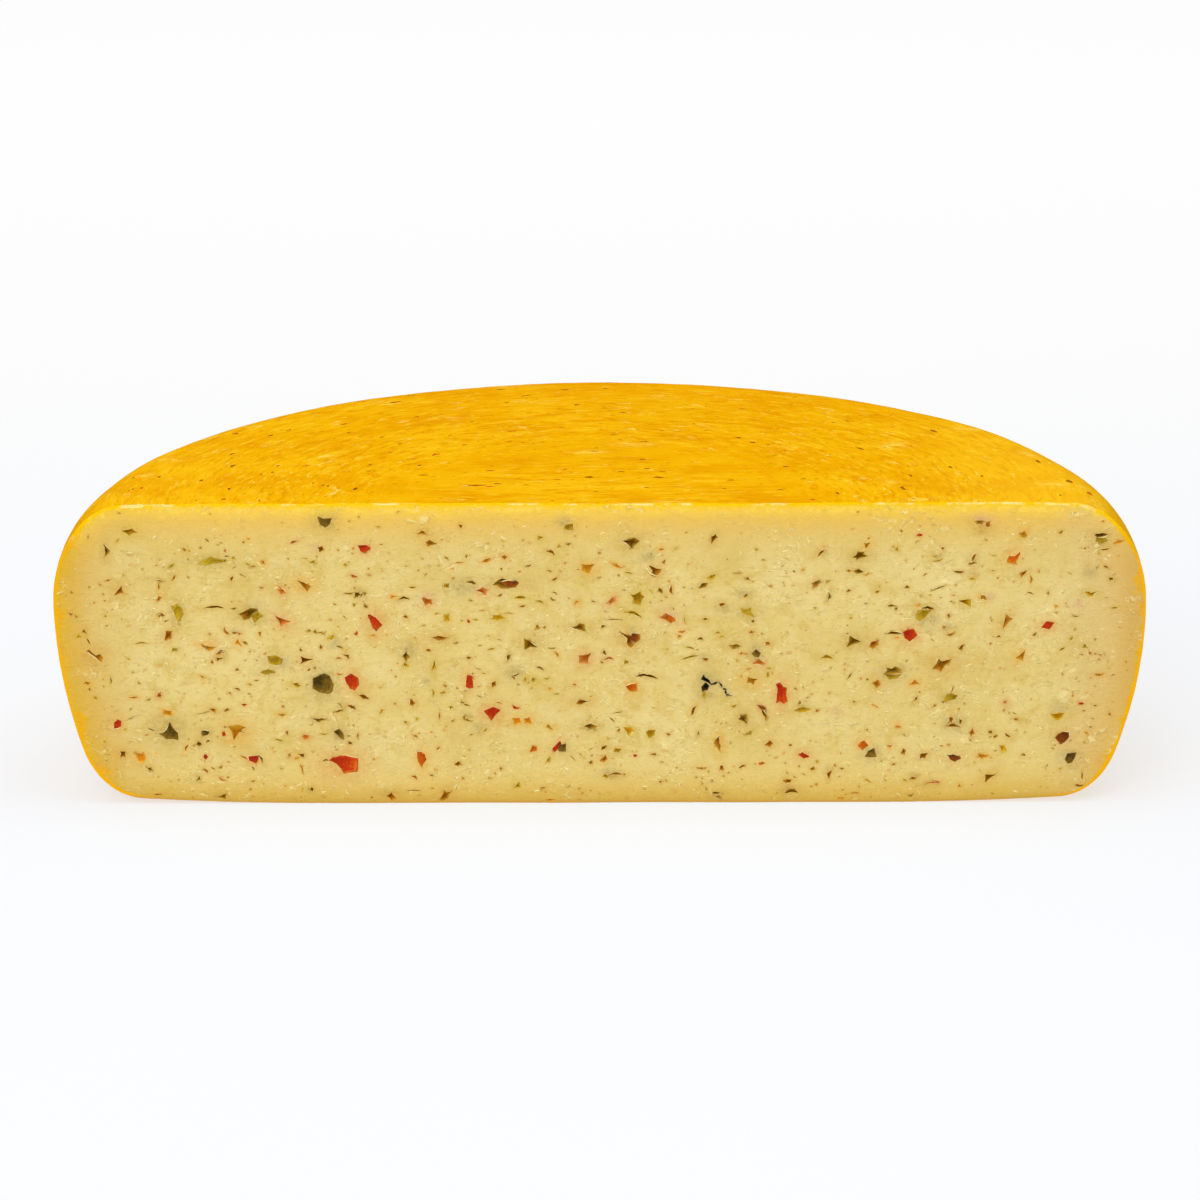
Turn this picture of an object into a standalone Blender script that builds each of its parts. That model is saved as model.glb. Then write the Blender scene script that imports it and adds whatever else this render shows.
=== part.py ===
"""Half of a pressed cheese wheel with pepper and herb flakes, cut straight across its middle.

Metres, +Z up. The half wheel rests on its flat underside at z = 0. Its cut face looks towards -Y, its
round back towards +Y, and the origin lies under the middle of its box.
"""

import math
import random

import bmesh
import bpy
from mathutils import Matrix, Vector, noise
from mathutils.geometry import interpolate_bezier

MM = 0.001
RANDOM_SEED = 41

# The wheel, whose axis stands in the middle of the cut face
WHEEL_RADIUS = 140 * MM
WHEEL_HEIGHT = 80 * MM
WHEEL_STEPS = 128
CUT_Y = -WHEEL_RADIUS / 2

# Upper edge: a quarter ellipse from the flat top out and down to the widest ring
UPPER_EDGE_WIDTH = 19 * MM
UPPER_EDGE_DROP = 26 * MM
UPPER_EDGE_STEPS = 12
TOP_RING_RADII = (0.0, 45 * MM, 85 * MM)

# Below the widest ring the side leans in to its foot, then a tighter lower edge meets the underside
SIDE_FOOT = Vector((133 * MM, 14 * MM))
SIDE_HANDLE_DROP = 16 * MM
SIDE_FOOT_HANDLE = Vector((3.6 * MM, 10 * MM))
LOWER_EDGE = Vector((118 * MM, 1.4 * MM))
LOWER_EDGE_HANDLE = Vector((8.5 * MM, 0.5 * MM))
FLAT_FOOT_RADIUS = 76 * MM
SIDE_STEPS = 8
LOWER_EDGE_STEPS = 7
UNDERSIDE_STEPS = 3

# A pressed rind is never quite even; the flat underside stays flat
RIND_WAVE_HEIGHT = 0.45 * MM
RIND_WAVE_LENGTH = 32 * MM
EVEN_BELOW_Z = 1.5 * MM
UNEVEN_ABOVE_Z = 14 * MM

# The knife leaves a face that is flat to within a few tenths of a millimetre
KNIFE_WIDTH = 300 * MM
KNIFE_HEIGHT = 110 * MM
KNIFE_THICKNESS = 160 * MM
KNIFE_COLUMNS = 28
KNIFE_ROWS = 10
FACE_WAVE_HEIGHT = 0.25 * MM
FACE_WAVE_LENGTH = 24 * MM
# The knife passes just in front of the axis, so this half keeps it
AXIS_KEPT = 0.4 * MM

# Flakes stand a little proud of what they lie in, and their roots are buried
FLAKE_PROUD = 0.35 * MM
FLAKE_ROOT = 0.7 * MM
FLAKE_TAPER = 0.8
FLAKE_TILT = math.radians(3)

# Small openings in the paste are star shaped, with inward-curved sides
PIT_CUTTER_LIFT = 0.6 * MM
PIT_DEPTH_SHARE = 0.65
PIT_WAIST = 0.42

# Flakes on the cut face: across from the wheel's axis, height, width, height of the flake, all in mm,
# and the number of corners
RED_FLAKES = (
    (-65, 10.5, 5.9, 4.8, 5), (-64, 32.5, 3.3, 4.0, 6), (46.5, 29.5, 2.6, 4.8, 4),
    (-58, 49, 3.1, 4.0, 5), (-27.5, 24.5, 3.6, 3.2, 4), (79.5, 45.5, 3.3, 3.2, 5),
    (114.5, 48, 4.4, 1.9, 5), (-34, 33.5, 2.0, 3.5, 5), (-10.5, 15, 3.3, 2.9, 5),
    (-60.5, 69, 2.8, 2.4, 5), (118.5, 18, 3.6, 2.9, 6), (-124, 21.5, 2.0, 2.7, 5),
    (90, 12, 3.3, 1.9, 5), (106, 66.5, 3.1, 3.5, 6), (8, 31.5, 2.8, 3.2, 4),
    (67, 16, 2.6, 2.4, 4), (-46, 12.5, 2.3, 3.8, 6), (104, 49.5, 2.6, 2.4, 5),
)
GREEN_FLAKES = (
    (-71, 32, 4.9, 5.1, 7), (-110.5, 19.5, 4.9, 4.3, 6), (27, 32, 3.3, 5.6, 5),
    (8, 70.5, 4.1, 3.2, 4), (-24.5, 59.5, 6.1, 2.9, 5), (117, 24, 3.6, 2.7, 5),
    (120.5, 12, 2.8, 2.7, 5), (-100, 65.5, 6.1, 2.6, 5), (-89.5, 51, 5.1, 3.4, 5),
    (-83.5, 38.5, 3.6, 2.7, 6), (-108.5, 51.5, 2.3, 4.0, 5), (37.5, 52.5, 3.3, 2.4, 5),
    (83, 51, 3.8, 3.8, 6), (75.5, 35, 4.6, 3.4, 5), (-71, 76, 2.8, 2.4, 6),
    (14.5, 63, 2.6, 2.4, 5), (90, 28.5, 3.3, 2.4, 5), (69.5, 13.5, 2.6, 2.4, 5),
    (-18, 43, 3.6, 2.6, 4), (98, 75, 4.1, 1.4, 4),
)
# Openings, in the same order, the last number being the points of the star
PITS = (
    (8.5, 44.5, 4.4, 4.3, 4), (87.5, 38, 4.1, 3.5, 5), (-2.5, 21, 3.1, 2.2, 4), (-5.5, 47.5, 3.3, 2.2, 3),
    (17.5, 50.5, 3.1, 2.4, 4), (-3, 63.5, 2.6, 1.9, 4), (-44.5, 54.5, 2.6, 2.1, 4),
    (-129.5, 40, 4.0, 2.6, 3), (-93, 20, 3.6, 3.2, 4), (65, 44, 3.1, 2.9, 4), (-67, 19, 2.3, 2.9, 3),
    (42, 26, 1.6, 3.5, 3), (38.5, 33.5, 2.6, 2.1, 4), (-4, 39, 2.6, 1.9, 4), (-22, 34.5, 2.0, 2.1, 3),
    (-30, 57.5, 3.1, 2.1, 4), (34, 35.5, 2.6, 2.2, 3), (12, 38.5, 4.2, 1.2, 3), (61, 27, 2.4, 1.8, 3),
)

# Smaller flakes and openings fill the face between the named ones
SCATTERED_FLAKES = 96
SCATTERED_PITS = 64
SMALLEST_MARK = 1.2 * MM
LARGEST_SCATTERED = 2.6 * MM
MARK_GAP = 0.5 * MM
FACE_MARGIN = 4.5 * MM
PLACING_TRIES = 4000

# Flecks under the coating show as low bumps, spread round the top and the side
RIND_FLECKS = 26
TOP_FLECK_SHARE = 0.6
FLECK_PROUD = 0.12 * MM
FLECK_SIZE = (1.6 * MM, 4.2 * MM)
FLECK_LOWEST_Z = 12 * MM
FLECK_CUT_CLEARANCE = 5 * MM

# Materials of the one solid: base colour and roughness. Faces take theirs from the shape that made them.
FINISHES = {
    "rind": ((0.92, 0.45, 0.01), 0.32),
    "paste": ((0.76, 0.53, 0.17), 0.45),
    "red_flakes": ((0.55, 0.03, 0.01), 0.35),
    "green_flakes": ((0.05, 0.055, 0.015), 0.5),
    "brown_flakes": ((0.16, 0.045, 0.012), 0.5),
}
SCATTERED_FINISHES = ("red_flakes", "green_flakes", "green_flakes", "brown_flakes")
SHARP_EDGE_ANGLE = math.radians(35)


def clear_scene():
    for obj in list(bpy.data.objects):
        bpy.data.objects.remove(obj, do_unlink=True)


def new_collection(name):
    collection = bpy.data.collections.new(name)
    bpy.context.scene.collection.children.link(collection)
    return collection


def new_object(name, mesh, collection, finish):
    mesh.materials.append(bpy.data.materials[finish])
    obj = bpy.data.objects.new(name, mesh)
    collection.objects.link(obj)
    return obj


def new_cutter(name, mesh, collection):
    """An object that only shapes the cheese, hidden from renders and drawn as wire. It bares paste."""
    cutter = new_object(name, mesh, collection, "paste")
    cutter.hide_render = True
    cutter.display_type = "WIRE"
    return cutter


def apply_modifiers(obj):
    """Turns what the modifiers show into the object's own mesh."""
    depsgraph = bpy.context.evaluated_depsgraph_get()
    mesh = bpy.data.meshes.new_from_object(obj.evaluated_get(depsgraph))
    obj.modifiers.clear()
    obj.data = mesh


def make_materials():
    for name, (colour, roughness) in FINISHES.items():
        material = bpy.data.materials.new(name)
        material.use_nodes = True
        shader = material.node_tree.nodes["Principled BSDF"]
        shader.inputs["Base Color"].default_value = (*colour, 1.0)
        shader.inputs["Roughness"].default_value = roughness
        shader.inputs["Metallic"].default_value = 0.0


def edge_curve(start, start_handle, end_handle, end, steps):
    """Points of a cubic curve after its start, up to and with its end."""
    return interpolate_bezier(start, start_handle, end_handle, end, steps + 1)[1:]


def wheel_profile():
    """Radius and height, from the middle of the top out over the edge and in to the middle of the foot."""
    points = [Vector((radius, WHEEL_HEIGHT)) for radius in TOP_RING_RADII]
    edge_start = WHEEL_RADIUS - UPPER_EDGE_WIDTH
    widest_height = WHEEL_HEIGHT - UPPER_EDGE_DROP
    for step in range(UPPER_EDGE_STEPS + 1):
        angle = math.pi / 2 * step / UPPER_EDGE_STEPS
        radius = edge_start + UPPER_EDGE_WIDTH * math.sin(angle)
        points.append(Vector((radius, widest_height + UPPER_EDGE_DROP * math.cos(angle))))
    widest = points[-1]
    side_handle = widest - Vector((0.0, SIDE_HANDLE_DROP))
    points += edge_curve(widest, side_handle, SIDE_FOOT + SIDE_FOOT_HANDLE, SIDE_FOOT, SIDE_STEPS)
    foot_handle = SIDE_FOOT - SIDE_FOOT_HANDLE / 2
    edge_handle = LOWER_EDGE + LOWER_EDGE_HANDLE
    points += edge_curve(SIDE_FOOT, foot_handle, edge_handle, LOWER_EDGE, LOWER_EDGE_STEPS)
    flat_foot = Vector((FLAT_FOOT_RADIUS, 0.0))
    underside_handle = LOWER_EDGE - LOWER_EDGE_HANDLE
    flat_handle = flat_foot + Vector((LOWER_EDGE_HANDLE.x, 0.0))
    points += edge_curve(LOWER_EDGE, underside_handle, flat_handle, flat_foot, UNDERSIDE_STEPS)
    points.append(Vector((0.0, 0.0)))
    return points


def build_wheel(profile, collection):
    """The whole wheel, turned from its profile and then made a little uneven."""
    mesh = bpy.data.meshes.new("cheese")
    edges = [(index, index + 1) for index in range(len(profile) - 1)]
    mesh.from_pydata([(point.x, 0.0, point.y) for point in profile], edges, [])
    wheel = new_object("cheese", mesh, collection, "rind")
    wheel.location = (0.0, CUT_Y + AXIS_KEPT, 0.0)
    screw = wheel.modifiers.new("turned", "SCREW")
    screw.axis = "Z"
    screw.angle = 2 * math.pi
    screw.steps = WHEEL_STEPS
    screw.render_steps = WHEEL_STEPS
    screw.use_merge_vertices = True
    screw.merge_threshold = 0.00005
    apply_modifiers(wheel)
    # Half a step of turn keeps the rings' corners off the cut
    wheel.data.transform(Matrix.Rotation(math.pi / WHEEL_STEPS, 4, "Z"))
    for vertex in wheel.data.vertices:
        height = vertex.co.z
        share = (height - EVEN_BELOW_Z) / (UNEVEN_ABOVE_Z - EVEN_BELOW_Z)
        share = min(max(share, 0.0), 1.0)
        wave = noise.noise(vertex.co / RIND_WAVE_LENGTH) * RIND_WAVE_HEIGHT
        vertex.co += vertex.normal * wave * share
    return wheel


def build_knife(collection):
    """A thick slab in front of the wheel's axis, whose near side leaves the slightly wavy cut."""
    mesh = bpy.data.meshes.new("knife")
    blade = bmesh.new()
    bmesh.ops.create_grid(blade, x_segments=KNIFE_COLUMNS, y_segments=KNIFE_ROWS, size=0.5)
    for vertex in blade.verts:
        across = vertex.co.x * KNIFE_WIDTH
        height = vertex.co.y * KNIFE_HEIGHT + WHEEL_HEIGHT / 2
        place = Vector((across, 0.0, height)) / FACE_WAVE_LENGTH
        vertex.co = (across, noise.noise(place) * FACE_WAVE_HEIGHT, height)
    bmesh.ops.reverse_faces(blade, faces=blade.faces)
    blade.to_mesh(mesh)
    blade.free()
    knife = new_cutter("knife", mesh, collection)
    knife.location = (0.0, CUT_Y, 0.0)
    slab = knife.modifiers.new("slab", "SOLIDIFY")
    slab.thickness = KNIFE_THICKNESS
    slab.offset = -1.0
    apply_modifiers(knife)
    return knife


def corner_number(vertex, corners):
    """Which corner of a cone's rim a vertex is, counted round from the cone's own +Y."""
    return round(math.atan2(-vertex.co.x, vertex.co.y) / (2 * math.pi) * corners) % corners


def flake_mesh(name, width, height, corners, proud, rng):
    """A low plate with uneven corners, lying in the XY plane with its top at the proud height."""
    mesh = bpy.data.meshes.new(name)
    plate = bmesh.new()
    depth = proud + FLAKE_ROOT
    bmesh.ops.create_cone(
        plate, cap_ends=True, segments=corners, radius1=0.5, radius2=0.5 * FLAKE_TAPER, depth=depth
    )
    reach = [rng.uniform(0.85, 1.12) for _ in range(corners)]
    spin = Matrix.Rotation(rng.uniform(0, 2 * math.pi), 3, "Z")
    for vertex in plate.verts:
        corner = corner_number(vertex, corners)
        vertex.co = spin @ vertex.co
        vertex.co.x *= width * reach[corner]
        vertex.co.y *= height * reach[corner]
        vertex.co.z += proud - depth / 2
    plate.to_mesh(mesh)
    plate.free()
    return mesh


def pit_mesh(name, width, height, points, rng):
    """A star-shaped hollow with inward-curved sides that narrows to an off-centre bottom."""
    mesh = bpy.data.meshes.new(name)
    star = bmesh.new()
    deep = PIT_DEPTH_SHARE * math.sqrt(width * height)
    depth = deep + PIT_CUTTER_LIFT
    flare = depth / deep
    bmesh.ops.create_cone(
        star, cap_ends=True, segments=2 * points, radius1=0.0, radius2=0.5 * flare, depth=depth
    )
    bottom = Vector((rng.uniform(-0.15, 0.15) * width, rng.uniform(-0.15, 0.15) * height, 0.0))
    reach = [rng.uniform(0.85, 1.15) if corner % 2 == 0 else PIT_WAIST for corner in range(2 * points)]
    spin = Matrix.Rotation(rng.uniform(0, 2 * math.pi), 3, "Z")
    for vertex in star.verts:
        if vertex.co.z > 0:
            corner = corner_number(vertex, 2 * points)
            vertex.co = spin @ vertex.co
            vertex.co.x *= width * reach[corner]
            vertex.co.y *= height * reach[corner]
        else:
            vertex.co += bottom
        vertex.co.z += PIT_CUTTER_LIFT - depth / 2
    star.to_mesh(mesh)
    star.free()
    return mesh


def on_cut_face(across, height, rng):
    """The frame of a mark on the cut face, its own Z pointing out of the cheese."""
    place = Matrix.Translation((across, CUT_Y, height))
    tilt = Matrix.Rotation(rng.uniform(-FLAKE_TILT, FLAKE_TILT), 4, "X")
    return place @ Matrix.Rotation(math.pi / 2, 4, "X") @ tilt


def face_edge(profile, height):
    """Half the width of the cut face at a height."""
    side = sorted((point.y, point.x) for point in profile if point.x >= FLAT_FOOT_RADIUS)
    for (low, inner), (high, outer) in zip(side, side[1:]):
        if low <= height <= high and high > low:
            return inner + (outer - inner) * (height - low) / (high - low)
    return 0.0


def is_clear(spot, taken):
    across, height, reach = spot
    return all(
        math.hypot(across - other[0], height - other[1]) > reach + other[2] + MARK_GAP for other in taken
    )


def scattered_marks(count, profile, taken, rng):
    """Free places on the cut face, each with a width and a height, the largest placed first."""
    sizes = sorted(
        (SMALLEST_MARK + (LARGEST_SCATTERED - SMALLEST_MARK) * rng.random() ** 1.7 for _ in range(count)),
        reverse=True,
    )
    marks = []
    for _ in range(PLACING_TRIES):
        if len(marks) == count:
            break
        size = sizes[len(marks)]
        height = rng.uniform(FACE_MARGIN, WHEEL_HEIGHT - FACE_MARGIN)
        reach = face_edge(profile, height) - FACE_MARGIN
        across = rng.uniform(-reach, reach)
        spot = (across, height, size / 2)
        if is_clear(spot, taken):
            taken.append(spot)
            stretch = rng.uniform(0.75, 1.35)
            marks.append((across, height, size * stretch, size / stretch))
    return marks


def place_flake(mark, collection, finish, rng):
    across, height, width, tall, corners = mark
    mesh = flake_mesh("flake", width, tall, corners, FLAKE_PROUD, rng)
    new_object("flake", mesh, collection, finish).matrix_world = on_cut_face(across, height, rng)


def place_pit(mark, collection, rng):
    across, height, width, tall, points = mark
    mesh = pit_mesh("pit", width, tall, points, rng)
    new_cutter("pit", mesh, collection).matrix_world = on_cut_face(across, height, rng)


def named_marks(rows, taken):
    """The listed marks in metres, their places noted as taken."""
    marks = []
    for across, height, width, tall, corners in rows:
        taken.append((across * MM, height * MM, max(width, tall) / 2 * MM))
        marks.append((across * MM, height * MM, width * MM, tall * MM, corners))
    return marks


def place_face_marks(profile, flakes, pits, rng):
    taken = []
    named_red = named_marks(RED_FLAKES, taken)
    named_green = named_marks(GREEN_FLAKES, taken)
    named_pits = named_marks(PITS, taken)
    for mark in named_red:
        place_flake(mark, flakes, "red_flakes", rng)
    for mark in named_green:
        place_flake(mark, flakes, "green_flakes", rng)
    for mark in named_pits:
        place_pit(mark, pits, rng)
    for mark in scattered_marks(SCATTERED_PITS, profile, taken, rng):
        place_pit((*mark, rng.choice((3, 3, 4))), pits, rng)
    for mark in scattered_marks(SCATTERED_FLAKES, profile, taken, rng):
        finish = rng.choice(SCATTERED_FINISHES)
        place_flake((*mark, rng.choice((4, 5))), flakes, finish, rng)


def place_rind_flecks(wheel, flecks, rng):
    """Low flecks on the top and side behind the cut, each lying along the surface under it."""
    for _ in range(RIND_FLECKS):
        angle = rng.uniform(0.05 * math.pi, 0.95 * math.pi)
        if rng.random() < TOP_FLECK_SHARE:
            radius = math.sqrt(rng.random()) * (WHEEL_RADIUS - UPPER_EDGE_WIDTH)
            height = WHEEL_HEIGHT
        else:
            radius = WHEEL_RADIUS
            height = rng.uniform(FLECK_LOWEST_Z, WHEEL_HEIGHT)
        depth = max(radius * math.sin(angle), FLECK_CUT_CLEARANCE)
        wanted = Vector((radius * math.cos(angle), depth, height))
        _, near, normal, _ = wheel.closest_point_on_mesh(wanted)
        width = rng.uniform(*FLECK_SIZE)
        mesh = flake_mesh("fleck", width, width * rng.uniform(0.35, 0.8), 5, FLECK_PROUD, rng)
        spin = Matrix.Rotation(rng.uniform(0, 2 * math.pi), 4, "Z")
        lie = normal.to_track_quat("Z", "Y").to_matrix().to_4x4()
        place = Matrix.Translation(wheel.location + near)
        new_object("fleck", mesh, flecks, "brown_flakes").matrix_world = place @ lie @ spin


def add_boolean(obj, name, operation, operand):
    """A Boolean with one object, or with all the objects of a collection."""
    boolean = obj.modifiers.new(name, "BOOLEAN")
    boolean.operation = operation
    boolean.solver = "EXACT"
    boolean.material_mode = "TRANSFER"
    if isinstance(operand, bpy.types.Collection):
        boolean.operand_type = "COLLECTION"
        boolean.collection = operand
    else:
        boolean.object = operand


def remove_collection(collection):
    for obj in list(collection.objects):
        bpy.data.objects.remove(obj, do_unlink=True)
    bpy.data.collections.remove(collection)


def main():
    clear_scene()
    make_materials()
    rng = random.Random(RANDOM_SEED)
    cheese_parts = new_collection("herb and pepper cheese half wheel")
    cutters = new_collection("cutters")
    flakes = new_collection("flakes")
    profile = wheel_profile()

    cheese = build_wheel(profile, cheese_parts)
    place_rind_flecks(cheese, flakes, rng)
    place_face_marks(profile, flakes, cutters, rng)
    knife_box = new_collection("knife")
    add_boolean(cheese, "cut in half", "DIFFERENCE", build_knife(knife_box))
    apply_modifiers(cheese)
    add_boolean(cheese, "openings", "DIFFERENCE", cutters)
    apply_modifiers(cheese)
    add_boolean(cheese, "flakes joined", "UNION", flakes)
    apply_modifiers(cheese)
    for collection in (knife_box, cutters, flakes):
        remove_collection(collection)

    cheese.data.shade_smooth()
    cheese.data.set_sharp_from_angle(angle=SHARP_EDGE_ANGLE)


main()
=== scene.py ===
"""Looks of a half wheel of cheese with pepper and herb flakes, with its light and camera.

Metres, +Z up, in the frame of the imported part: the cut face looks towards -Y and the underside is at z = 0.
"""

import math
import random
from collections import namedtuple

import bmesh
import bpy
import numpy as np
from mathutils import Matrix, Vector, noise
from mathutils.bvhtree import BVHTree
from mathutils.geometry import interpolate_bezier
from mathutils.kdtree import KDTree


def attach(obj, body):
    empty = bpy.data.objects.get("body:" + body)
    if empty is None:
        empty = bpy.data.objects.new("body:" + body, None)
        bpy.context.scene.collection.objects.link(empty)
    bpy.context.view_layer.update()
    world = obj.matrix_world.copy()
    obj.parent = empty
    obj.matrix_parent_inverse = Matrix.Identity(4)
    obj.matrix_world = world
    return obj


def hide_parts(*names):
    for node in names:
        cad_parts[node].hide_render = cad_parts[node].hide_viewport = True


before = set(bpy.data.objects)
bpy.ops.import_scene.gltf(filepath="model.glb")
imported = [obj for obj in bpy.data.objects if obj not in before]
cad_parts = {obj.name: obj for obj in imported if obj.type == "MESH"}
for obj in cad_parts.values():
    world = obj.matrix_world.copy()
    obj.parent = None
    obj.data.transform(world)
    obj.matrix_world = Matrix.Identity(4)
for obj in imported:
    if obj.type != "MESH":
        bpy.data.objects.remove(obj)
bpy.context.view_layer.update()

MM = 0.001
RANDOM_SEED = 7

# The wheel, as in the part
WHEEL_RADIUS = 140 * MM
WHEEL_HEIGHT = 80 * MM
CUT_Y = -WHEEL_RADIUS / 2
AXIS_Y = CUT_Y + 0.4 * MM
UPPER_EDGE_WIDTH = 19 * MM
UPPER_EDGE_DROP = 26 * MM
SIDE_FOOT = Vector((133 * MM, 14 * MM))
SIDE_HANDLE_DROP = 16 * MM
SIDE_FOOT_HANDLE = Vector((3.6 * MM, 10 * MM))
LOWER_EDGE = Vector((118 * MM, 1.4 * MM))
LOWER_EDGE_HANDLE = Vector((8.5 * MM, 0.5 * MM))
FLAT_FOOT_RADIUS = 76 * MM
RIND_WAVE_HEIGHT = 0.45 * MM
RIND_WAVE_LENGTH = 32 * MM
EVEN_BELOW_Z = 1.5 * MM
UNEVEN_ABOVE_Z = 14 * MM
FACE_WAVE_HEIGHT = 0.25 * MM
FACE_WAVE_LENGTH = 24 * MM

# Meshes: cells across a disc and rows down the side, for the rind's outside and for the paste under it
RIND_CELLS = 193
RIND_ROWS = 84
CORE_CELLS = 73
CORE_ROWS = 36
FACE_CELL = 0.75 * MM
FACE_OVERHANG = 1.6 * MM
KNIFE_THICKNESS = 160 * MM

# Rind
RIND_THINNEST = 0.4 * MM
RIND_THICKEST = 1.5 * MM
RIND_SINK = 0.13 * MM
RIND_GRAIN_HEIGHT = 0.05 * MM
RIND_GRAIN_LENGTH = 3.2 * MM

# Paint: how far from the rind the paste is deeper in colour, and the circle that strokes are measured on
EDGE_REACH = 20 * MM
ARC_RADIUS_MM = 110.0

# Marks on the cut face: an outline lies within a unit square, which the width and height then stretch
Mark = namedtuple("Mark", "kind across height width tall turn outline", defaults=(None,))
PIT_LIFT = 0.5 * MM
PIT_DEEPEST = 1.3 * MM
SOCKET_SCALE = 1.07
SOCKET_DEPTH = 0.18 * MM
FLAKE_ROOT = 0.9 * MM
FLAKE_SWELL = 1.06
PIT_STRETCH = (1.15, 1.2)
CRACK_STRETCH = (1.05, 1.5)
MARK_CELL = 8 * MM
MARK_GAP = 0.2 * MM

# Torn paste
TORN_LENGTH = 17 * MM
TORN_OFFSET = Vector((4.0, 0.0, 2.0))
CURL_COUNT = 900
LONG_CURL_SHARE = 0.02
CURL_STEPS = 5
LIP_SHARE = 0.55
RIDGE_MARGIN = 1.6 * MM

# Scattered marks: their number, smallest and largest size and least distance from the edge in mm, and how
# often each kind comes
PIT_KINDS = {"brown pit": 5, "orange pit": 3, "olive pit": 4, "dark pit": 1.2, "red pit": 1.2, "crack": 2}
FLAKE_KINDS = {"red flake": 1, "orange flake": 1.2, "olive flake": 1}
SCATTERED = (
    (12, 0.9, 1.4, 8, FLAKE_KINDS), (92, 0.9, 2.2, 2.5, PIT_KINDS),
    (150, 0.5, 0.9, 1.6, PIT_KINDS), (420, 0.3, 0.6, 1.2, PIT_KINDS),
)

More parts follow.
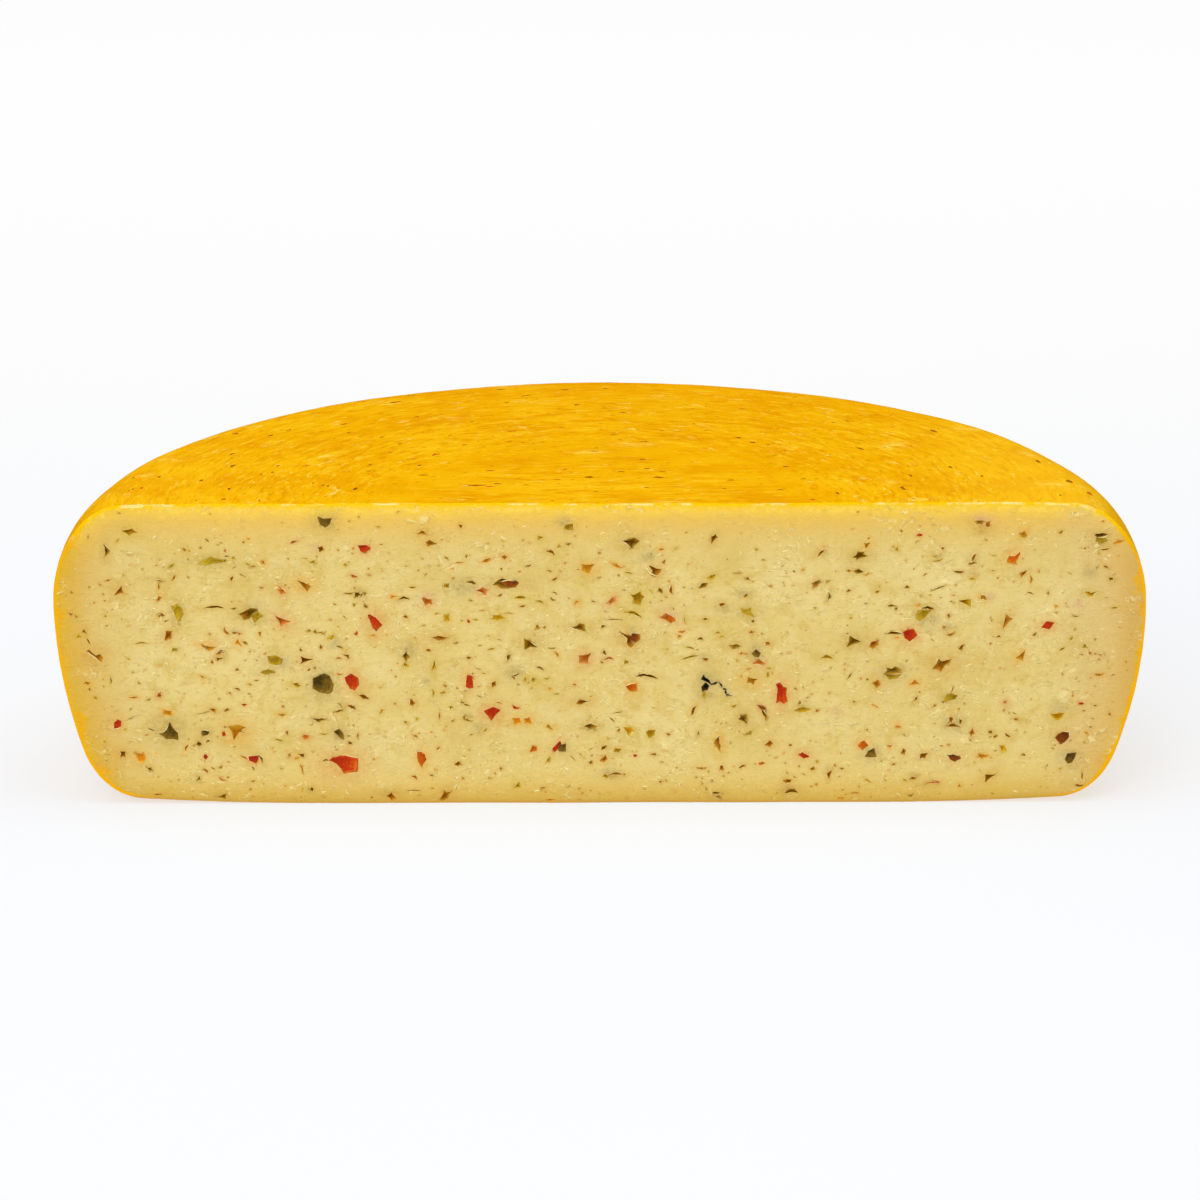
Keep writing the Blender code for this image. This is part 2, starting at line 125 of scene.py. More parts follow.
# Large marks by their outlines, and smaller ones by across, height, width and height, with the turn in
# degrees of one that slants. All in mm, across from the wheel's axis and up from the underside.
OUTLINES = {
    "red flake": (
        ((-125.1, 21.8), (-124.2, 22.6), (-123.4, 22.2), (-123.5, 20.8), (-124.3, 20.3), (-125.2, 20.3)),
        (
            (-69.8, 11.5), (-68.8, 12.2), (-67.2, 12.6), (-65.8, 12.7), (-64.4, 12.3), (-62.7, 12),
            (-62.9, 10.5), (-63.1, 8.6), (-64.4, 8.6), (-66.3, 8.1), (-66.9, 9.3), (-68, 10.6),
        ),
        ((-65.5, 33.7), (-64, 34.7), (-62.4, 33.7), (-62.2, 32), (-63.2, 30.5), (-64.3, 31), (-65, 32.2)),
        ((-61.6, 69), (-59.6, 69.1), (-58.6, 68.3), (-60.1, 67.1), (-61, 67.6)),
        ((-59.3, 50.3), (-58.7, 50.7), (-57.5, 49.8), (-56, 48), (-57.4, 46.5), (-58.3, 47.6)),
        (
            (-34.1, 34.3), (-33, 34.1), (-32.8, 32.6), (-32.7, 31.2), (-33.8, 30.9), (-34.7, 31.4),
            (-34.4, 32.6),
        ),
        ((-29.8, 24.7), (-27.6, 25.7), (-25.9, 24.9), (-27.2, 23.6), (-28, 22.3), (-28.9, 23.6)),
        (
            (45.2, 31.6), (46.2, 32), (47, 31), (47.8, 30.7), (47.7, 29), (48, 27.3), (47.2, 26.7),
            (46.2, 27.3), (45.3, 26.9), (45.4, 29.1), (45.6, 30.7),
        ),
        ((77.8, 45.6), (78.9, 46.3), (80.3, 46.4), (81.2, 44.9), (80.4, 43.9), (79.4, 43.2), (78.2, 44.2)),
    ),
    "brown flake": (
        ((-25.3, 59.3), (-23.5, 59.7), (-21.8, 59.5), (-20.9, 59), (-21.7, 58), (-23.7, 58)),
        ((8.3, 45.4), (9.6, 45.3), (10, 44.1), (8.8, 43.2), (8, 43.9)),
        (
            (117.2, 17.2), (117.9, 18.1), (119.1, 18.8), (120.5, 18.6), (120.6, 17.4), (119.5, 16.2),
            (118.5, 15.6), (117.6, 16.6),
        ),
    ),
    "orange flake": (
        ((-47.3, 13.6), (-46.2, 13.7), (-45.4, 12.9), (-45, 11.7), (-46.2, 9.8), (-47.1, 11.4)),
        ((6.6, 31.3), (8.2, 32), (9.2, 32.1), (9.4, 30.8), (8.4, 29.9), (7.4, 30.4)),
        ((66.3, 15.3), (67.8, 16.8), (68.8, 15.3), (67.5, 14.2)),
        (
            (104.3, 64.9), (104.7, 66.1), (106.1, 66), (107.1, 67), (107.3, 66.6), (106.8, 65.3),
            (106.2, 64.1), (104.5, 64.3),
        ),
    ),
    "green flake": (
        (
            (-113.6, 18.9), (-112.3, 19.4), (-111.4, 20.5), (-110.9, 21.9), (-110.3, 20.5), (-109.1, 19.1),
            (-109, 17.4), (-110.9, 17.7), (-111.8, 17.6), (-112.8, 18.4),
        ),
        (
            (-73.6, 33.6), (-72, 34.4), (-70.8, 34.8), (-69.6, 34.1), (-68.8, 32), (-69, 30.5),
            (-70.2, 29.8), (-72.2, 30.2), (-73.6, 31.2),
        ),
        ((-71.8, 76.8), (-70.5, 76.2), (-68.4, 76.3), (-69.1, 74.6), (-70.1, 73.9), (-71.2, 74.7)),
        ((-68.6, 19.3), (-67.3, 20), (-66.3, 19), (-66.2, 17.3), (-67, 17.6), (-67.8, 18.5)),
        ((-10.8, 15.5), (-9, 15.8), (-9.1, 13.8), (-10.8, 14)),
        ((39, 40), (40, 41.1), (41.1, 40.2), (40.7, 39.1), (39.7, 39.4)),
        ((68.2, 12.4), (69, 13.8), (70.4, 14.5), (71, 12.3), (69.5, 12.2)),
        (
            (119.8, 11.4), (120.3, 12.8), (121.6, 13), (122.5, 13.1), (122.2, 12), (121.5, 10.7),
            (120.5, 10.4),
        ),
    ),
    "olive flake": (
        (
            (-109.5, 52.6), (-108.4, 53.4), (-107.1, 52.3), (-106.9, 50.8), (-107.9, 49.1), (-108.7, 49.8),
            (-109.2, 51.3),
        ),
        (
            (-102.4, 64.3), (-101.1, 65.3), (-99.4, 66.1), (-97.6, 65.5), (-95.9, 65.3), (-96.2, 64.8),
            (-98.9, 64.5), (-100.5, 64),
        ),
        ((-89.3, 50.4), (-87.7, 51.6), (-86.5, 50.3), (-88.4, 48.7)),
        ((-85.2, 39.5), (-83.3, 39.7), (-81.7, 38.8), (-82, 37.5), (-83.3, 37.1), (-84.7, 37.8)),
        ((-8.9, 74), (-8.5, 74.5), (-6.9, 74.7), (-6.9, 73.2), (-8, 72.9), (-8.9, 73.3)),
        ((36.2, 52.3), (37, 51.7), (38.7, 52.3), (38.5, 51.2), (39.7, 50.1), (39.1, 50), (36.7, 51)),
        ((73.3, 34.4), (74.9, 34.3), (77.3, 34.5), (76, 33.3), (74.4, 33.1)),
        ((81.1, 50.5), (82.6, 51.7), (84.7, 51.4), (83.5, 49.9), (82, 48.7), (81.2, 49.4)),
        ((88.2, 26.9), (89.2, 28.9), (90, 29.1), (91.7, 28.6), (91, 27.8), (89.4, 27.3)),
    ),
    "black pit": (
        ((25.9, 33.1), (26.6, 34.4), (27, 33.6), (27.9, 33.1), (28.6, 31.5), (27.5, 32.4), (26.4, 32.9)),
    ),
    "dark pit": (
        (
            (-92.4, 50.9), (-91.1, 51.6), (-89.6, 52.4), (-88, 52.3), (-87.8, 51.8), (-89.1, 50.9),
            (-89.7, 49.8), (-91.2, 49.4), (-91.7, 50.4),
        ),
        (
            (-27.2, 58.5), (-25.8, 59.8), (-24.9, 60.1), (-23.6, 59.8), (-21.8, 59.7), (-20.9, 59.3),
            (-21.7, 57.9), (-23.3, 57.6), (-25.2, 57.6), (-26.2, 58.4),
        ),
        ((-19.4, 44.1), (-17.8, 43.4), (-16, 41.9), (-17.9, 42), (-19.2, 41.3), (-19.3, 42.7)),
        ((-7.2, 47.2), (-5.9, 47.5), (-5.3, 48.2), (-4, 47.9), (-3.9, 46.2), (-5.3, 46.3), (-6.6, 46.7)),
        (
            (-4.3, 20.6), (-3.2, 21.1), (-2.3, 21.5), (-1.5, 21), (-0.6, 20.6), (-1.5, 20), (-2.3, 19.4),
            (-3.1, 20.1),
        ),
        ((5.5, 70.1), (6.6, 70.3), (8.8, 71), (10.1, 70.1), (9.6, 69.5), (8.2, 68.1), (6.8, 69.5)),
        ((64.1, 44.7), (65.2, 44), (66.8, 43.3), (64.7, 42.4), (63.3, 41.8), (63.9, 43.2)),
        (
            (72.6, 34.6), (73.8, 35.3), (73.6, 36.2), (74.9, 35.8), (75.7, 36.6), (77.5, 35.6),
            (77.4, 34.7), (74.9, 34.5), (73.4, 34.5),
        ),
    ),
    "brown pit": (
        (
            (-131.6, 41), (-131, 41.5), (-130.3, 40.5), (-129.4, 39.9), (-128.4, 40.3), (-127.7, 39.4),
            (-128.1, 38.2), (-128.7, 38.3), (-129.7, 39.4), (-131.1, 40.5),
        ),
        ((-6.1, 26.7), (-5.4, 27.7), (-4.5, 27.6), (-2.6, 27.3), (-4.2, 26.9), (-5.1, 26.4)),
        (
            (5.3, 45.8), (7.2, 45), (8.4, 45.1), (10.2, 45.3), (10.3, 43.8), (9, 42.8), (7.8, 41.7),
            (6.9, 42.9), (7.1, 44.2),
        ),
        (
            (12.6, 63.6), (13.7, 63.2), (14.5, 62.7), (15.8, 62.6), (15.3, 61.6), (14.1, 60.6),
            (13.1, 61.1), (13.6, 62.1),
        ),
        (
            (85.4, 35.8), (86.2, 37.1), (87, 38.8), (87.7, 37.9), (90.1, 38.3), (88.5, 36.6), (87.5, 35.1),
            (86.7, 35.7),
        ),
    ),
    "orange pit": (
        (
            (-120.2, 13.7), (-118.8, 13.3), (-117.7, 13.5), (-117.4, 12.3), (-118, 11), (-119, 11.4),
            (-119.5, 12.3),
        ),
        (
            (-95.7, 20.7), (-93.5, 21.1), (-91.3, 20.5), (-92.4, 19.7), (-91.6, 18.8), (-93, 19.3),
            (-94.4, 17.1), (-94.8, 19.3),
        ),
        ((-77.3, 59.8), (-75.7, 59.2), (-74, 58.3), (-74.9, 56.9), (-75.7, 57.9)),
    ),
    "olive pit": (
        ((6, 20.3), (8, 20.3), (8.6, 19.4), (7.4, 18.1), (6.7, 19.1)),
        ((11.8, 19), (12.4, 19.5), (14.1, 19.5), (13.8, 18.3), (12.6, 17.3)),
        ((49.8, 24.6), (51, 25.4), (52.3, 25.6), (54.3, 25.1), (53, 24.5), (51.4, 24.2)),
        (
            (115.8, 23.8), (116.9, 23.6), (118, 24), (119.3, 23.9), (118.6, 22.6), (117.6, 21.9),
            (116.6, 22.6),
        ),
    ),
    "red pit": (
        (
            (-45.5, 54.9), (-44.9, 55.3), (-44.3, 54.8), (-43.1, 54.7), (-43, 53.4), (-43.9, 53.6),
            (-44.7, 53.2), (-45.1, 54.1),
        ),
        ((-31.7, 56.9), (-30, 57.9), (-28.7, 57.2), (-29.3, 55.7), (-30.2, 56.4)),
    ),
}

PLACED_MARKS = {
    "red flake": (
        (-89.5, 11.8, 2.3, 1.7), (-11.2, 15.1, 2.9, 1.3, 60), (52.4, 12.7, 2.5, 1.6),
        (114.8, 47.4, 2.8, 1.8),
    ),
    "brown flake": (
        (91, 11.8, 3.2, 1.7),
    ),
    "orange flake": (
        (-17.4, 14.5, 1.9, 1.2, 20), (18.3, 49.4, 1.9, 1.3, -20),
    ),
    "green flake": (
        (-101.7, 19, 1.9, 1.4),
    ),
    "olive flake": (
        (-85.3, 35.4, 3.2, 1.1), (26.8, 29.1, 0.9, 2), (128.3, 70, 2.2, 1.7),
    ),
    "black pit": (
        (27, 31.1, 1.8, 2), (29.3, 32.1, 2.1, 0.6, 22), (30.9, 31.7, 1.7, 0.5, -60),
        (31.9, 30.5, 1.2, 0.5, -10), (32.4, 29.7, 1.6, 0.5, -85), (33, 28.9, 1.4, 0.5, -8),
    ),
    "dark pit": (
        (-126.3, 67.9, 1.2, 2.9), (-116.2, 9.2, 0.9, 1.2, 25), (-103.7, 6.8, 1.2, 1.2),
        (-103.5, 16, 1.3, 1.2), (-97.8, 1.9, 1.9, 1.2), (-87.6, 11.9, 2.3, 0.7, -60),
        (-74.5, 3.7, 1.1, 1.2), (-72.4, 22.6, 3.1, 0.8), (-62.1, 55.9, 1.5, 1.3),
        (-61.4, 56.1, 1.9, 0.7, 12), (-60.2, 56.3, 1, 0.8), (-50.1, 54.9, 2.4, 0.7),
        (-49.8, 39.5, 1.7, 2.6), (-32.8, 59.1, 2.8, 0.9, -20), (-23.6, 39.1, 2.1, 0.9, 60),
        (-8, 69.3, 1.3, 0.6, 15), (25.3, 18.5, 1.4, 0.8, 65), (29.1, 70.7, 2.5, 1.2, 60),
        (36.6, 22.5, 2, 2.2), (58.6, 55.3, 0.8, 1.9, -15), (66.1, 62, 2.6, 1), (66.6, 66.1, 3.2, 1.8),
        (80.6, 6.3, 1.9, 0.8, 25), (83.9, 52, 2.9, 0.9), (128.2, 71.4, 2.9, 1.2),
    ),
    "brown pit": (
        (-132.2, 46.4, 1.2, 1), (-123.2, 57.2, 2.1, 2.1), (-110.8, 45.1, 2.8, 1.8, 55),
        (-109.1, 60.5, 0.6, 1.6, -35), (-97.9, 39, 1.5, 0.9, 20), (-97.6, 40.5, 2, 0.6, 20),
        (-95.8, 46.3, 2, 0.8, -50), (-94.2, 60.4, 0.6, 1.2, -20), (-80.5, 19, 0.7, 1.2, 30),
        (-75.6, 38.3, 2.8, 1.9, -20), (-71.2, 68.1, 1.3, 1.4), (-64.9, 39.7, 1.9, 0.8, -45),
        (-64.6, 16.1, 1.3, 0.8, -45), (-63.9, 25.8, 2.2, 0.8, -30), (-60.7, 28.5, 2.5, 1, -25),
        (-54, 1.7, 2.3, 1.9), (-49.8, 50.1, 1.2, 0.8, -25), (-40.9, 44.4, 3.6, 1.3),
        (-40.2, 2, 2.9, 1.8, 50), (-33.7, 39, 1.2, 0.7), (-11.5, 60.1, 1.6, 0.6, 28), (-2.6, 10.9, 1.2, 1),
        (0.4, 37.8, 1, 0.5, -30), (0.8, 14.8, 1.2, 1), (1, 14.9, 1.2, 0.8), (1.1, 40.4, 0.8, 1),
        (6.1, 7.5, 0.8, 0.6), (13.6, 13, 1.2, 0.7), (16.5, 64.7, 0.7, 1.2, -35), (17.4, 18.4, 1.2, 0.6),
        (18.3, 57.2, 0.8, 2.1, 10), (24, 24.8, 2.4, 0.8, 65), (26.9, 38.4, 1.4, 0.8),
        (27.1, 49.3, 1.2, 0.7), (27.1, 38.5, 1.4, 0.6), (31.3, 53.1, 1.6, 0.8), (36.5, 9.7, 1.7, 0.7, 22),
        (37.8, 60.1, 1.2, 0.8), (38.9, 45.8, 1.2, 0.9), (43.1, 42.7, 1.5, 0.9, -20),
        (43.4, 15.8, 1.9, 1.5), (54.7, 9, 1.2, 1), (55.4, 58.8, 2.8, 1.4, 35), (56.6, 66.9, 2.3, 0.7, 48),
        (59.1, 7.4, 0.9, 2, -15), (70.3, 42.6, 2.5, 1.4, 40), (78, 13.4, 1.5, 1.1, 55),
        (81.1, 27.8, 0.6, 1.6, -30), (88.3, 47, 0.8, 0.7), (89.9, 45.2, 2.1, 0.8, 20),
        (92.6, 41.5, 0.8, 1.4, -15), (92.7, 21.7, 0.7, 1.2, 10), (100.2, 6.9, 2.9, 1.5, 30),
        (103.8, 48.5, 3.3, 1.7, 50), (104.8, 17.9, 1.4, 0.6, -40), (111.5, 44.9, 1.3, 0.7, 40),
        (123.4, 4.3, 2, 0.8), (129.5, 63, 1.5, 0.6, -15),
    ),
    "orange pit": (
        (-120, 28.7, 2, 0.5), (-114.2, 2.4, 2, 0.5), (-112.9, 58.1, 0.4, 2.2),
        (-111.3, 24.5, 2.2, 1.2, -20), (-106.7, 15, 0.6, 1.5, -25), (-102.1, 34.1, 1.4, 0.5, -25),
        (-100.6, 42.2, 3.5, 1, -14), (-92.7, 43.2, 1.7, 1.6), (-92, 12.3, 1.8, 0.4, -25),
        (-87.3, 45.6, 0.8, 1.2), (-82, 24, 1.7, 0.7), (-78.4, 12.1, 1.2, 0.7), (-77.1, 9.3, 0.4, 2.2, 15),
        (-67, 34.8, 1.6, 0.4, -12), (-58.2, 45.2, 1.3, 0.5), (-35.8, 64.5, 2, 0.3, 3),
        (-30, 51.8, 1.7, 0.3), (-26.1, 26.9, 1.3, 0.4, -10), (-24.3, 65.9, 1.4, 1),
        (-23.4, 50.9, 1.7, 0.3), (-18.7, 22.3, 1.8, 1.6), (-13.1, 0.8, 2, 0.4),
        (-12.9, 20.5, 1.9, 1.1, -20), (-11, 40, 0.7, 1.4, 30), (-5.9, 53.8, 1.2, 1), (-2.9, 62.8, 2.8, 2),
        (4.4, 14.3, 1.7, 0.7), (4.4, 63.6, 2.8, 0.8, -20), (15.8, 67.9, 1.5, 0.7), (26, 9.3, 2.2, 0.5),
        (30.5, 16, 1.3, 3.4), (38.1, 36, 1.2, 0.4), (39, 32.7, 2.5, 1.8), (62.2, 1.1, 1.7, 0.5),
        (65.7, 2.3, 2, 0.4), (68.4, 68.8, 1.3, 1.2), (70.7, 25.9, 1.8, 0.3, -30), (76.3, 44.2, 1.2, 0.4),
        (76.6, 20.3, 1.3, 0.7), (81.5, 52.8, 1.2, 0.7), (98.6, 12.3, 2.6, 1.1), (107.9, 39.3, 2.1, 2.4),
        (108.1, 71.8, 1.6, 1.4), (110.3, 59.7, 0.6, 1.8), (128.2, 34.2, 1.8, 0.7),
        (132.6, 69.6, 2.4, 0.6, 20),
    ),
    "olive pit": (
        (-125.7, 33.2, 0.4, 1.6), (-123.2, 70.4, 0.5, 1.4, -35), (-120.1, 72.9, 3.2, 1.7, -20),
        (-117.7, 43.1, 3, 0.4, 3), (-91, 43.2, 0.7, 1.2, 30), (-82.8, 17, 2.1, 0.4, -15),
        (-75.3, 65.6, 1.3, 0.4), (-74.7, 46.3, 1, 0.7, 30), (-73.3, 64.8, 1.9, 0.9, -10),
        (-72.8, 46.1, 1.3, 1, -30), (-71.4, 45.7, 1.6, 0.6, -20), (-71.3, 18.7, 2, 0.4),
        (-71, 45.9, 1.3, 0.5), (-65, 63.9, 1.2, 0.7), (-56.3, 24.7, 0.7, 1.3, -30),
        (-49.8, 37.2, 1.3, 1.2), (-48, 58, 1.7, 0.5), (-42.9, 29.6, 0.5, 1.5), (-42.7, 37.1, 1.1, 2.4),
        (-40.5, 29.7, 1.2, 0.6), (-39.3, 49.7, 1.2, 1.8), (-39.3, 58.3, 1.3, 0.8),
        (-34.9, 23.1, 0.6, 1.4, -15), (-34, 22.3, 2.2, 0.6, -10), (-31.9, 49.3, 1.2, 0.5),
        (-29.8, 19.6, 1.5, 0.5, 50), (-27.9, 41.5, 1.9, 0.5, 12), (-26.2, 49.8, 3.2, 1.4),
        (-20.4, 55.1, 2.5, 0.8), (-19.2, 33.3, 0.8, 1.2), (-17.1, 33.1, 1.2, 1.2), (-15.9, 47.4, 1.2, 0.9),
        (-15.5, 54, 2.1, 0.4, -15), (-14.2, 47.2, 0.9, 0.8), (-13.8, 33.4, 1.2, 0.4),
        (-13.5, 11.6, 0.7, 1.6, -30), (-11.2, 29.4, 1.7, 0.3), (1.4, 7.1, 1.6, 1), (4.4, 14.1, 1.8, 0.9),
        (6.6, 37.9, 1.3, 1, 40), (7.4, 61.6, 1.9, 0.3, -10), (8.6, 50.7, 3.9, 0.7, -20),
        (9.7, 54.9, 2.8, 2.8), (21.9, 48.8, 0.5, 1.6, 15), (23.1, 41.6, 2.1, 0.4, -14),
        (23.1, 39.1, 3.5, 0.4, 14), (28.7, 60.7, 2.4, 1, 25), (30.2, 45.6, 1.2, 0.5),
        (31.3, 44.6, 1.2, 0.5, 10), (38.2, 18.8, 2.5, 0.9, 30), (43.6, 36.1, 1.2, 0.5),
        (58.1, 38.9, 2.6, 0.9), (68.9, 5.7, 1.9, 0.3, -30), (85.7, 66, 1.3, 0.5),
        (86.4, 64.9, 2.9, 0.5, 10), (93.4, 53.5, 2.6, 1.6), (95.3, 59.9, 1.7, 0.6),
        (118.5, 41.1, 1.5, 0.5, 35), (124.5, 41.9, 1.5, 0.8), (125.7, 56, 2.7, 1.1),
        (131.8, 52.1, 2, 0.4, 6),
    ),
    "red pit": (
        (-116.8, 18.6, 1.4, 0.3, 30), (-113.3, 29.2, 1.2, 1.3), (-97.7, 6.5, 1.7, 0.5, -30),
        (-92.5, 45.7, 1.2, 0.8), (-81.6, 48.9, 3.5, 2, -30), (-78.1, 70.1, 1.7, 0.6, 20),
        (-75.9, 17.8, 1.7, 1.1), (-67.1, 39, 1.3, 0.5), (-48, 6.9, 1.5, 0.6, -30), (-3.9, 38.8, 2.6, 2.2),
        (2.1, 38.7, 2.4, 0.6, 5), (3.1, 54.1, 2.8, 1.2, 45), (17.5, 49.6, 3.4, 1.5, -25),
        (40.9, 37.7, 2.5, 1.5, -20), (41.7, 25.2, 3, 1.1, -45), (85, 5, 2.2, 0.3, 8), (87, 5.2, 1.2, 0.6),
        (90.4, 22.2, 0.8, 1.4, 20), (99.2, 74.3, 1.1, 1.5), (104.1, 26.8, 1.2, 1.1),
    ),
    "crack": (
        (-135.6, 51.1, 1.2, 0.5), (-131.2, 43.7, 0.4, 1.3, 30), (-116.1, 28.1, 1.2, 0.4, 20),
        (-115.7, 20.1, 2.2, 0.4, -25), (-112.5, 59.9, 2.7, 0.4, -15), (-106, 68.1, 1.2, 0.5, -50),
        (-101, 16.7, 1.3, 0.5, 20), (-99.9, 9.4, 1.3, 0.3, -35), (-98.8, 52.7, 4.6, 0.5),
        (-98, 9.8, 1.5, 0.4, 38), (-97.7, 39, 2, 0.4, 10), (-97.2, 40.9, 2, 0.4, 15),
        (-96.9, 40.9, 1.2, 0.4, 15), (-93.8, 46, 1.6, 0.5), (-93.7, 52.4, 1.7, 0.4, 8),
        (-93.3, 30.8, 1.7, 0.4, -25), (-88.3, 33.2, 1.9, 0.3), (-76.6, 41.4, 1.2, 0.5, -50),
        (-74.8, 36.1, 1.2, 0.4, 50), (-73.4, 36.3, 1.2, 0.4, -38), (-70.8, 11.5, 1.5, 0.5),
        (-67.3, 24.8, 3, 0.4, 15), (-67, 26.4, 1.7, 0.3, -50), (-66.8, 42.1, 2.3, 0.5, -14),
        (-64.3, 56.4, 2.6, 0.4), (-41.4, 23.5, 0.4, 1.4), (-39.1, 65.6, 1.5, 0.3, -38),
        (-37.9, 22.2, 1.3, 0.4, 25), (-37, 43.2, 1.7, 0.3, 14), (-35.5, 27.3, 1.2, 0.4, -42),
        (-34.5, 26.5, 2, 0.4, -18), (-25.5, 55.9, 1.6, 0.4, 30), (-22.3, 33.7, 1.6, 0.5, -60),
        (-21.8, 34.3, 2.2, 0.3, 22), (-19.9, 52.8, 1.7, 0.5, 8), (-18.2, 63.6, 1.5, 0.5, 12),
        (-15.4, 36.2, 2.1, 0.4, -25), (-12.8, 62.2, 1.2, 0.4, -20), (-12, 54.7, 1.7, 0.5, -22),
        (-11.5, 56.2, 1.4, 0.3, -22), (-1.7, 54, 1.2, 0.3, -10), (0.8, 47.3, 1.2, 0.5, 25),
        (3.9, 7.6, 3.4, 0.4), (12, 33.9, 5.2, 0.6, -6), (25.8, 44, 1.5, 0.5), (26.4, 58.3, 2.7, 0.9, 25),
        (29.9, 2.6, 2.6, 0.4), (30.6, 1.5, 2, 0.4), (34.5, 42, 3, 0.9), (42.1, 23.7, 0.9, 2.6, 20),
        (49.3, 2.8, 3.2, 0.8), (51.1, 26.7, 1.4, 0.4, 60), (62.2, 9, 1.2, 0.5), (63.7, 56.7, 1.3, 0.5, 15),
        (64.1, 34.3, 0.4, 2, -30), (74.6, 52.8, 1.6, 0.5), (75.6, 45.4, 4.3, 0.5), (78.7, 57.6, 1.2, 0.5),
        (79.9, 1.9, 1.7, 0.5, 10), (89.8, 21.8, 0.5, 2, -20), (90.5, 30.4, 0.4, 1.2, -15),
        (90.7, 20.5, 4, 0.7, -5), (92, 61.9, 3.2, 0.5), (94.8, 63.9, 1.3, 0.4, 10),
        (95.5, 63.9, 1.8, 0.5, 20), (95.7, 65.6, 2, 0.5, 62), (97, 75.1, 3.3, 0.8), (109, 12.6, 1.3, 0.5),
        (117.8, 72.4, 1.3, 0.5, 35), (124.2, 7.1, 0.5, 1.6), (129.1, 67.7, 2.2, 0.4, 10),
    ),
}
# Stains of flakes that lie just under the surface: across, height, width and height in mm
STAINS = {
    "grey": (
        (-61.8, 56.9, 2.6, 1.8), (-34.2, 23.6, 3, 2.2), (-31, 20.4, 3.8, 2.8), (31.5, 52.5, 4, 3),
        (12.5, 66, 5, 3), (27, 31, 5.5, 7.5), (91, 21, 6.5, 4.5), (37, 56, 4, 2.6), (118, 25, 5, 3.6),
        (-22, 35, 5, 4.4), (-89, 52, 5.5, 4.4), (-49.5, 41, 4.6, 4.8), (-35, 58, 8.5, 5),
        (-68, 43, 3.6, 3), (84, 49, 6, 5.4), (26.9, 38.8, 3, 2.4), (30, 1.5, 3.4, 1.4),
        (-44.8, 32.7, 2.4, 2), (2, 8, 4.6, 2.8), (89, 47, 3.6, 2.8), (-93.8, 46.2, 2.2, 1.8),
        (125.5, 61.5, 3, 3), (69, 13.5, 5, 4), (120.5, 12, 5, 5), (-71, 32.5, 8, 8), (40, 41, 3.6, 3.4),
        (-9, 75, 4, 3.4), (-82.5, 38, 6, 4.6), (75, 34.5, 6.5, 4.2), (8, 44.5, 7, 6),
    ),
    "pink": (
        (-44.3, 54.6, 5, 4), (17.5, 50.4, 5.6, 4.4), (-30.2, 57.2, 6, 3.6), (-92.4, 45.9, 2.4, 1.8),
        (97.8, 75.6, 6, 3), (-81.6, 49.4, 4.4, 3.4), (-4, 39.2, 4.4, 3), (40.8, 38.2, 4.4, 3),
        (122.4, 53.2, 2.4, 2.4), (-97.6, 40.6, 3.4, 2.6), (-71.8, 68.6, 3, 2.4), (99.5, 55, 3.6, 2.4),
        (60.5, 24.6, 2.6, 2.2), (-65, 10.5, 9, 7), (-27.5, 24.4, 6, 5.4),
    ),
    "orange": (
        (-92.8, 43.4, 3, 2.6), (-100, 43.2, 4.4, 2.2), (-24.4, 66.5, 2.4, 2), (15.9, 68.6, 1.8, 1.6),
        (108.7, 72.8, 2, 1.6), (76.4, 20.7, 2, 1.8), (46.5, 29.6, 4.6, 7), (-33.6, 33, 3.6, 5),
        (-64, 32.5, 5.4, 6), (95.5, 60.8, 2.4, 1.8), (-138.8, 42, 2.4, 3.4), (139.5, 53, 1.8, 3.4),
        (129, 10.3, 2.6, 3), (-129.5, 10.2, 1.6, 1.6), (106, 66.4, 5, 4.4),
    ),
    "brown": (
        (-15.3, 47.5, 3, 2), (30.2, 1.9, 4, 2.4), (-66.5, 26, 3.6, 3), (89.2, 46.2, 3.4, 3),
        (58.9, 8, 2.6, 3.4), (98, 73.2, 5.6, 3.4), (0.9, 14.7, 2.2, 2), (4.3, 14.1, 2.8, 2),
        (48.6, 3.3, 5, 3), (-97.4, 39.8, 3.6, 3), (86.8, 65.6, 4, 2.8), (29, 70.6, 2.4, 3.2),
        (52, 25.6, 3.6, 2.6), (-4.6, 27.2, 4, 2.4), (91, 20.6, 4.6, 3.4), (-61.6, 56, 3.8, 3),
        (3, 7.4, 6, 3), (80.7, 6.6, 3, 2.4), (95.6, 64.8, 3, 3.4), (-34.2, 22.8, 3, 2.6),
        (95.5, 61, 3, 2), (57, 66.8, 3, 2.4), (-30.6, 20, 3.6, 3), (84.4, 5.1, 6, 2),
        (-54.7, 2.6, 6, 2.4),
    ),
}

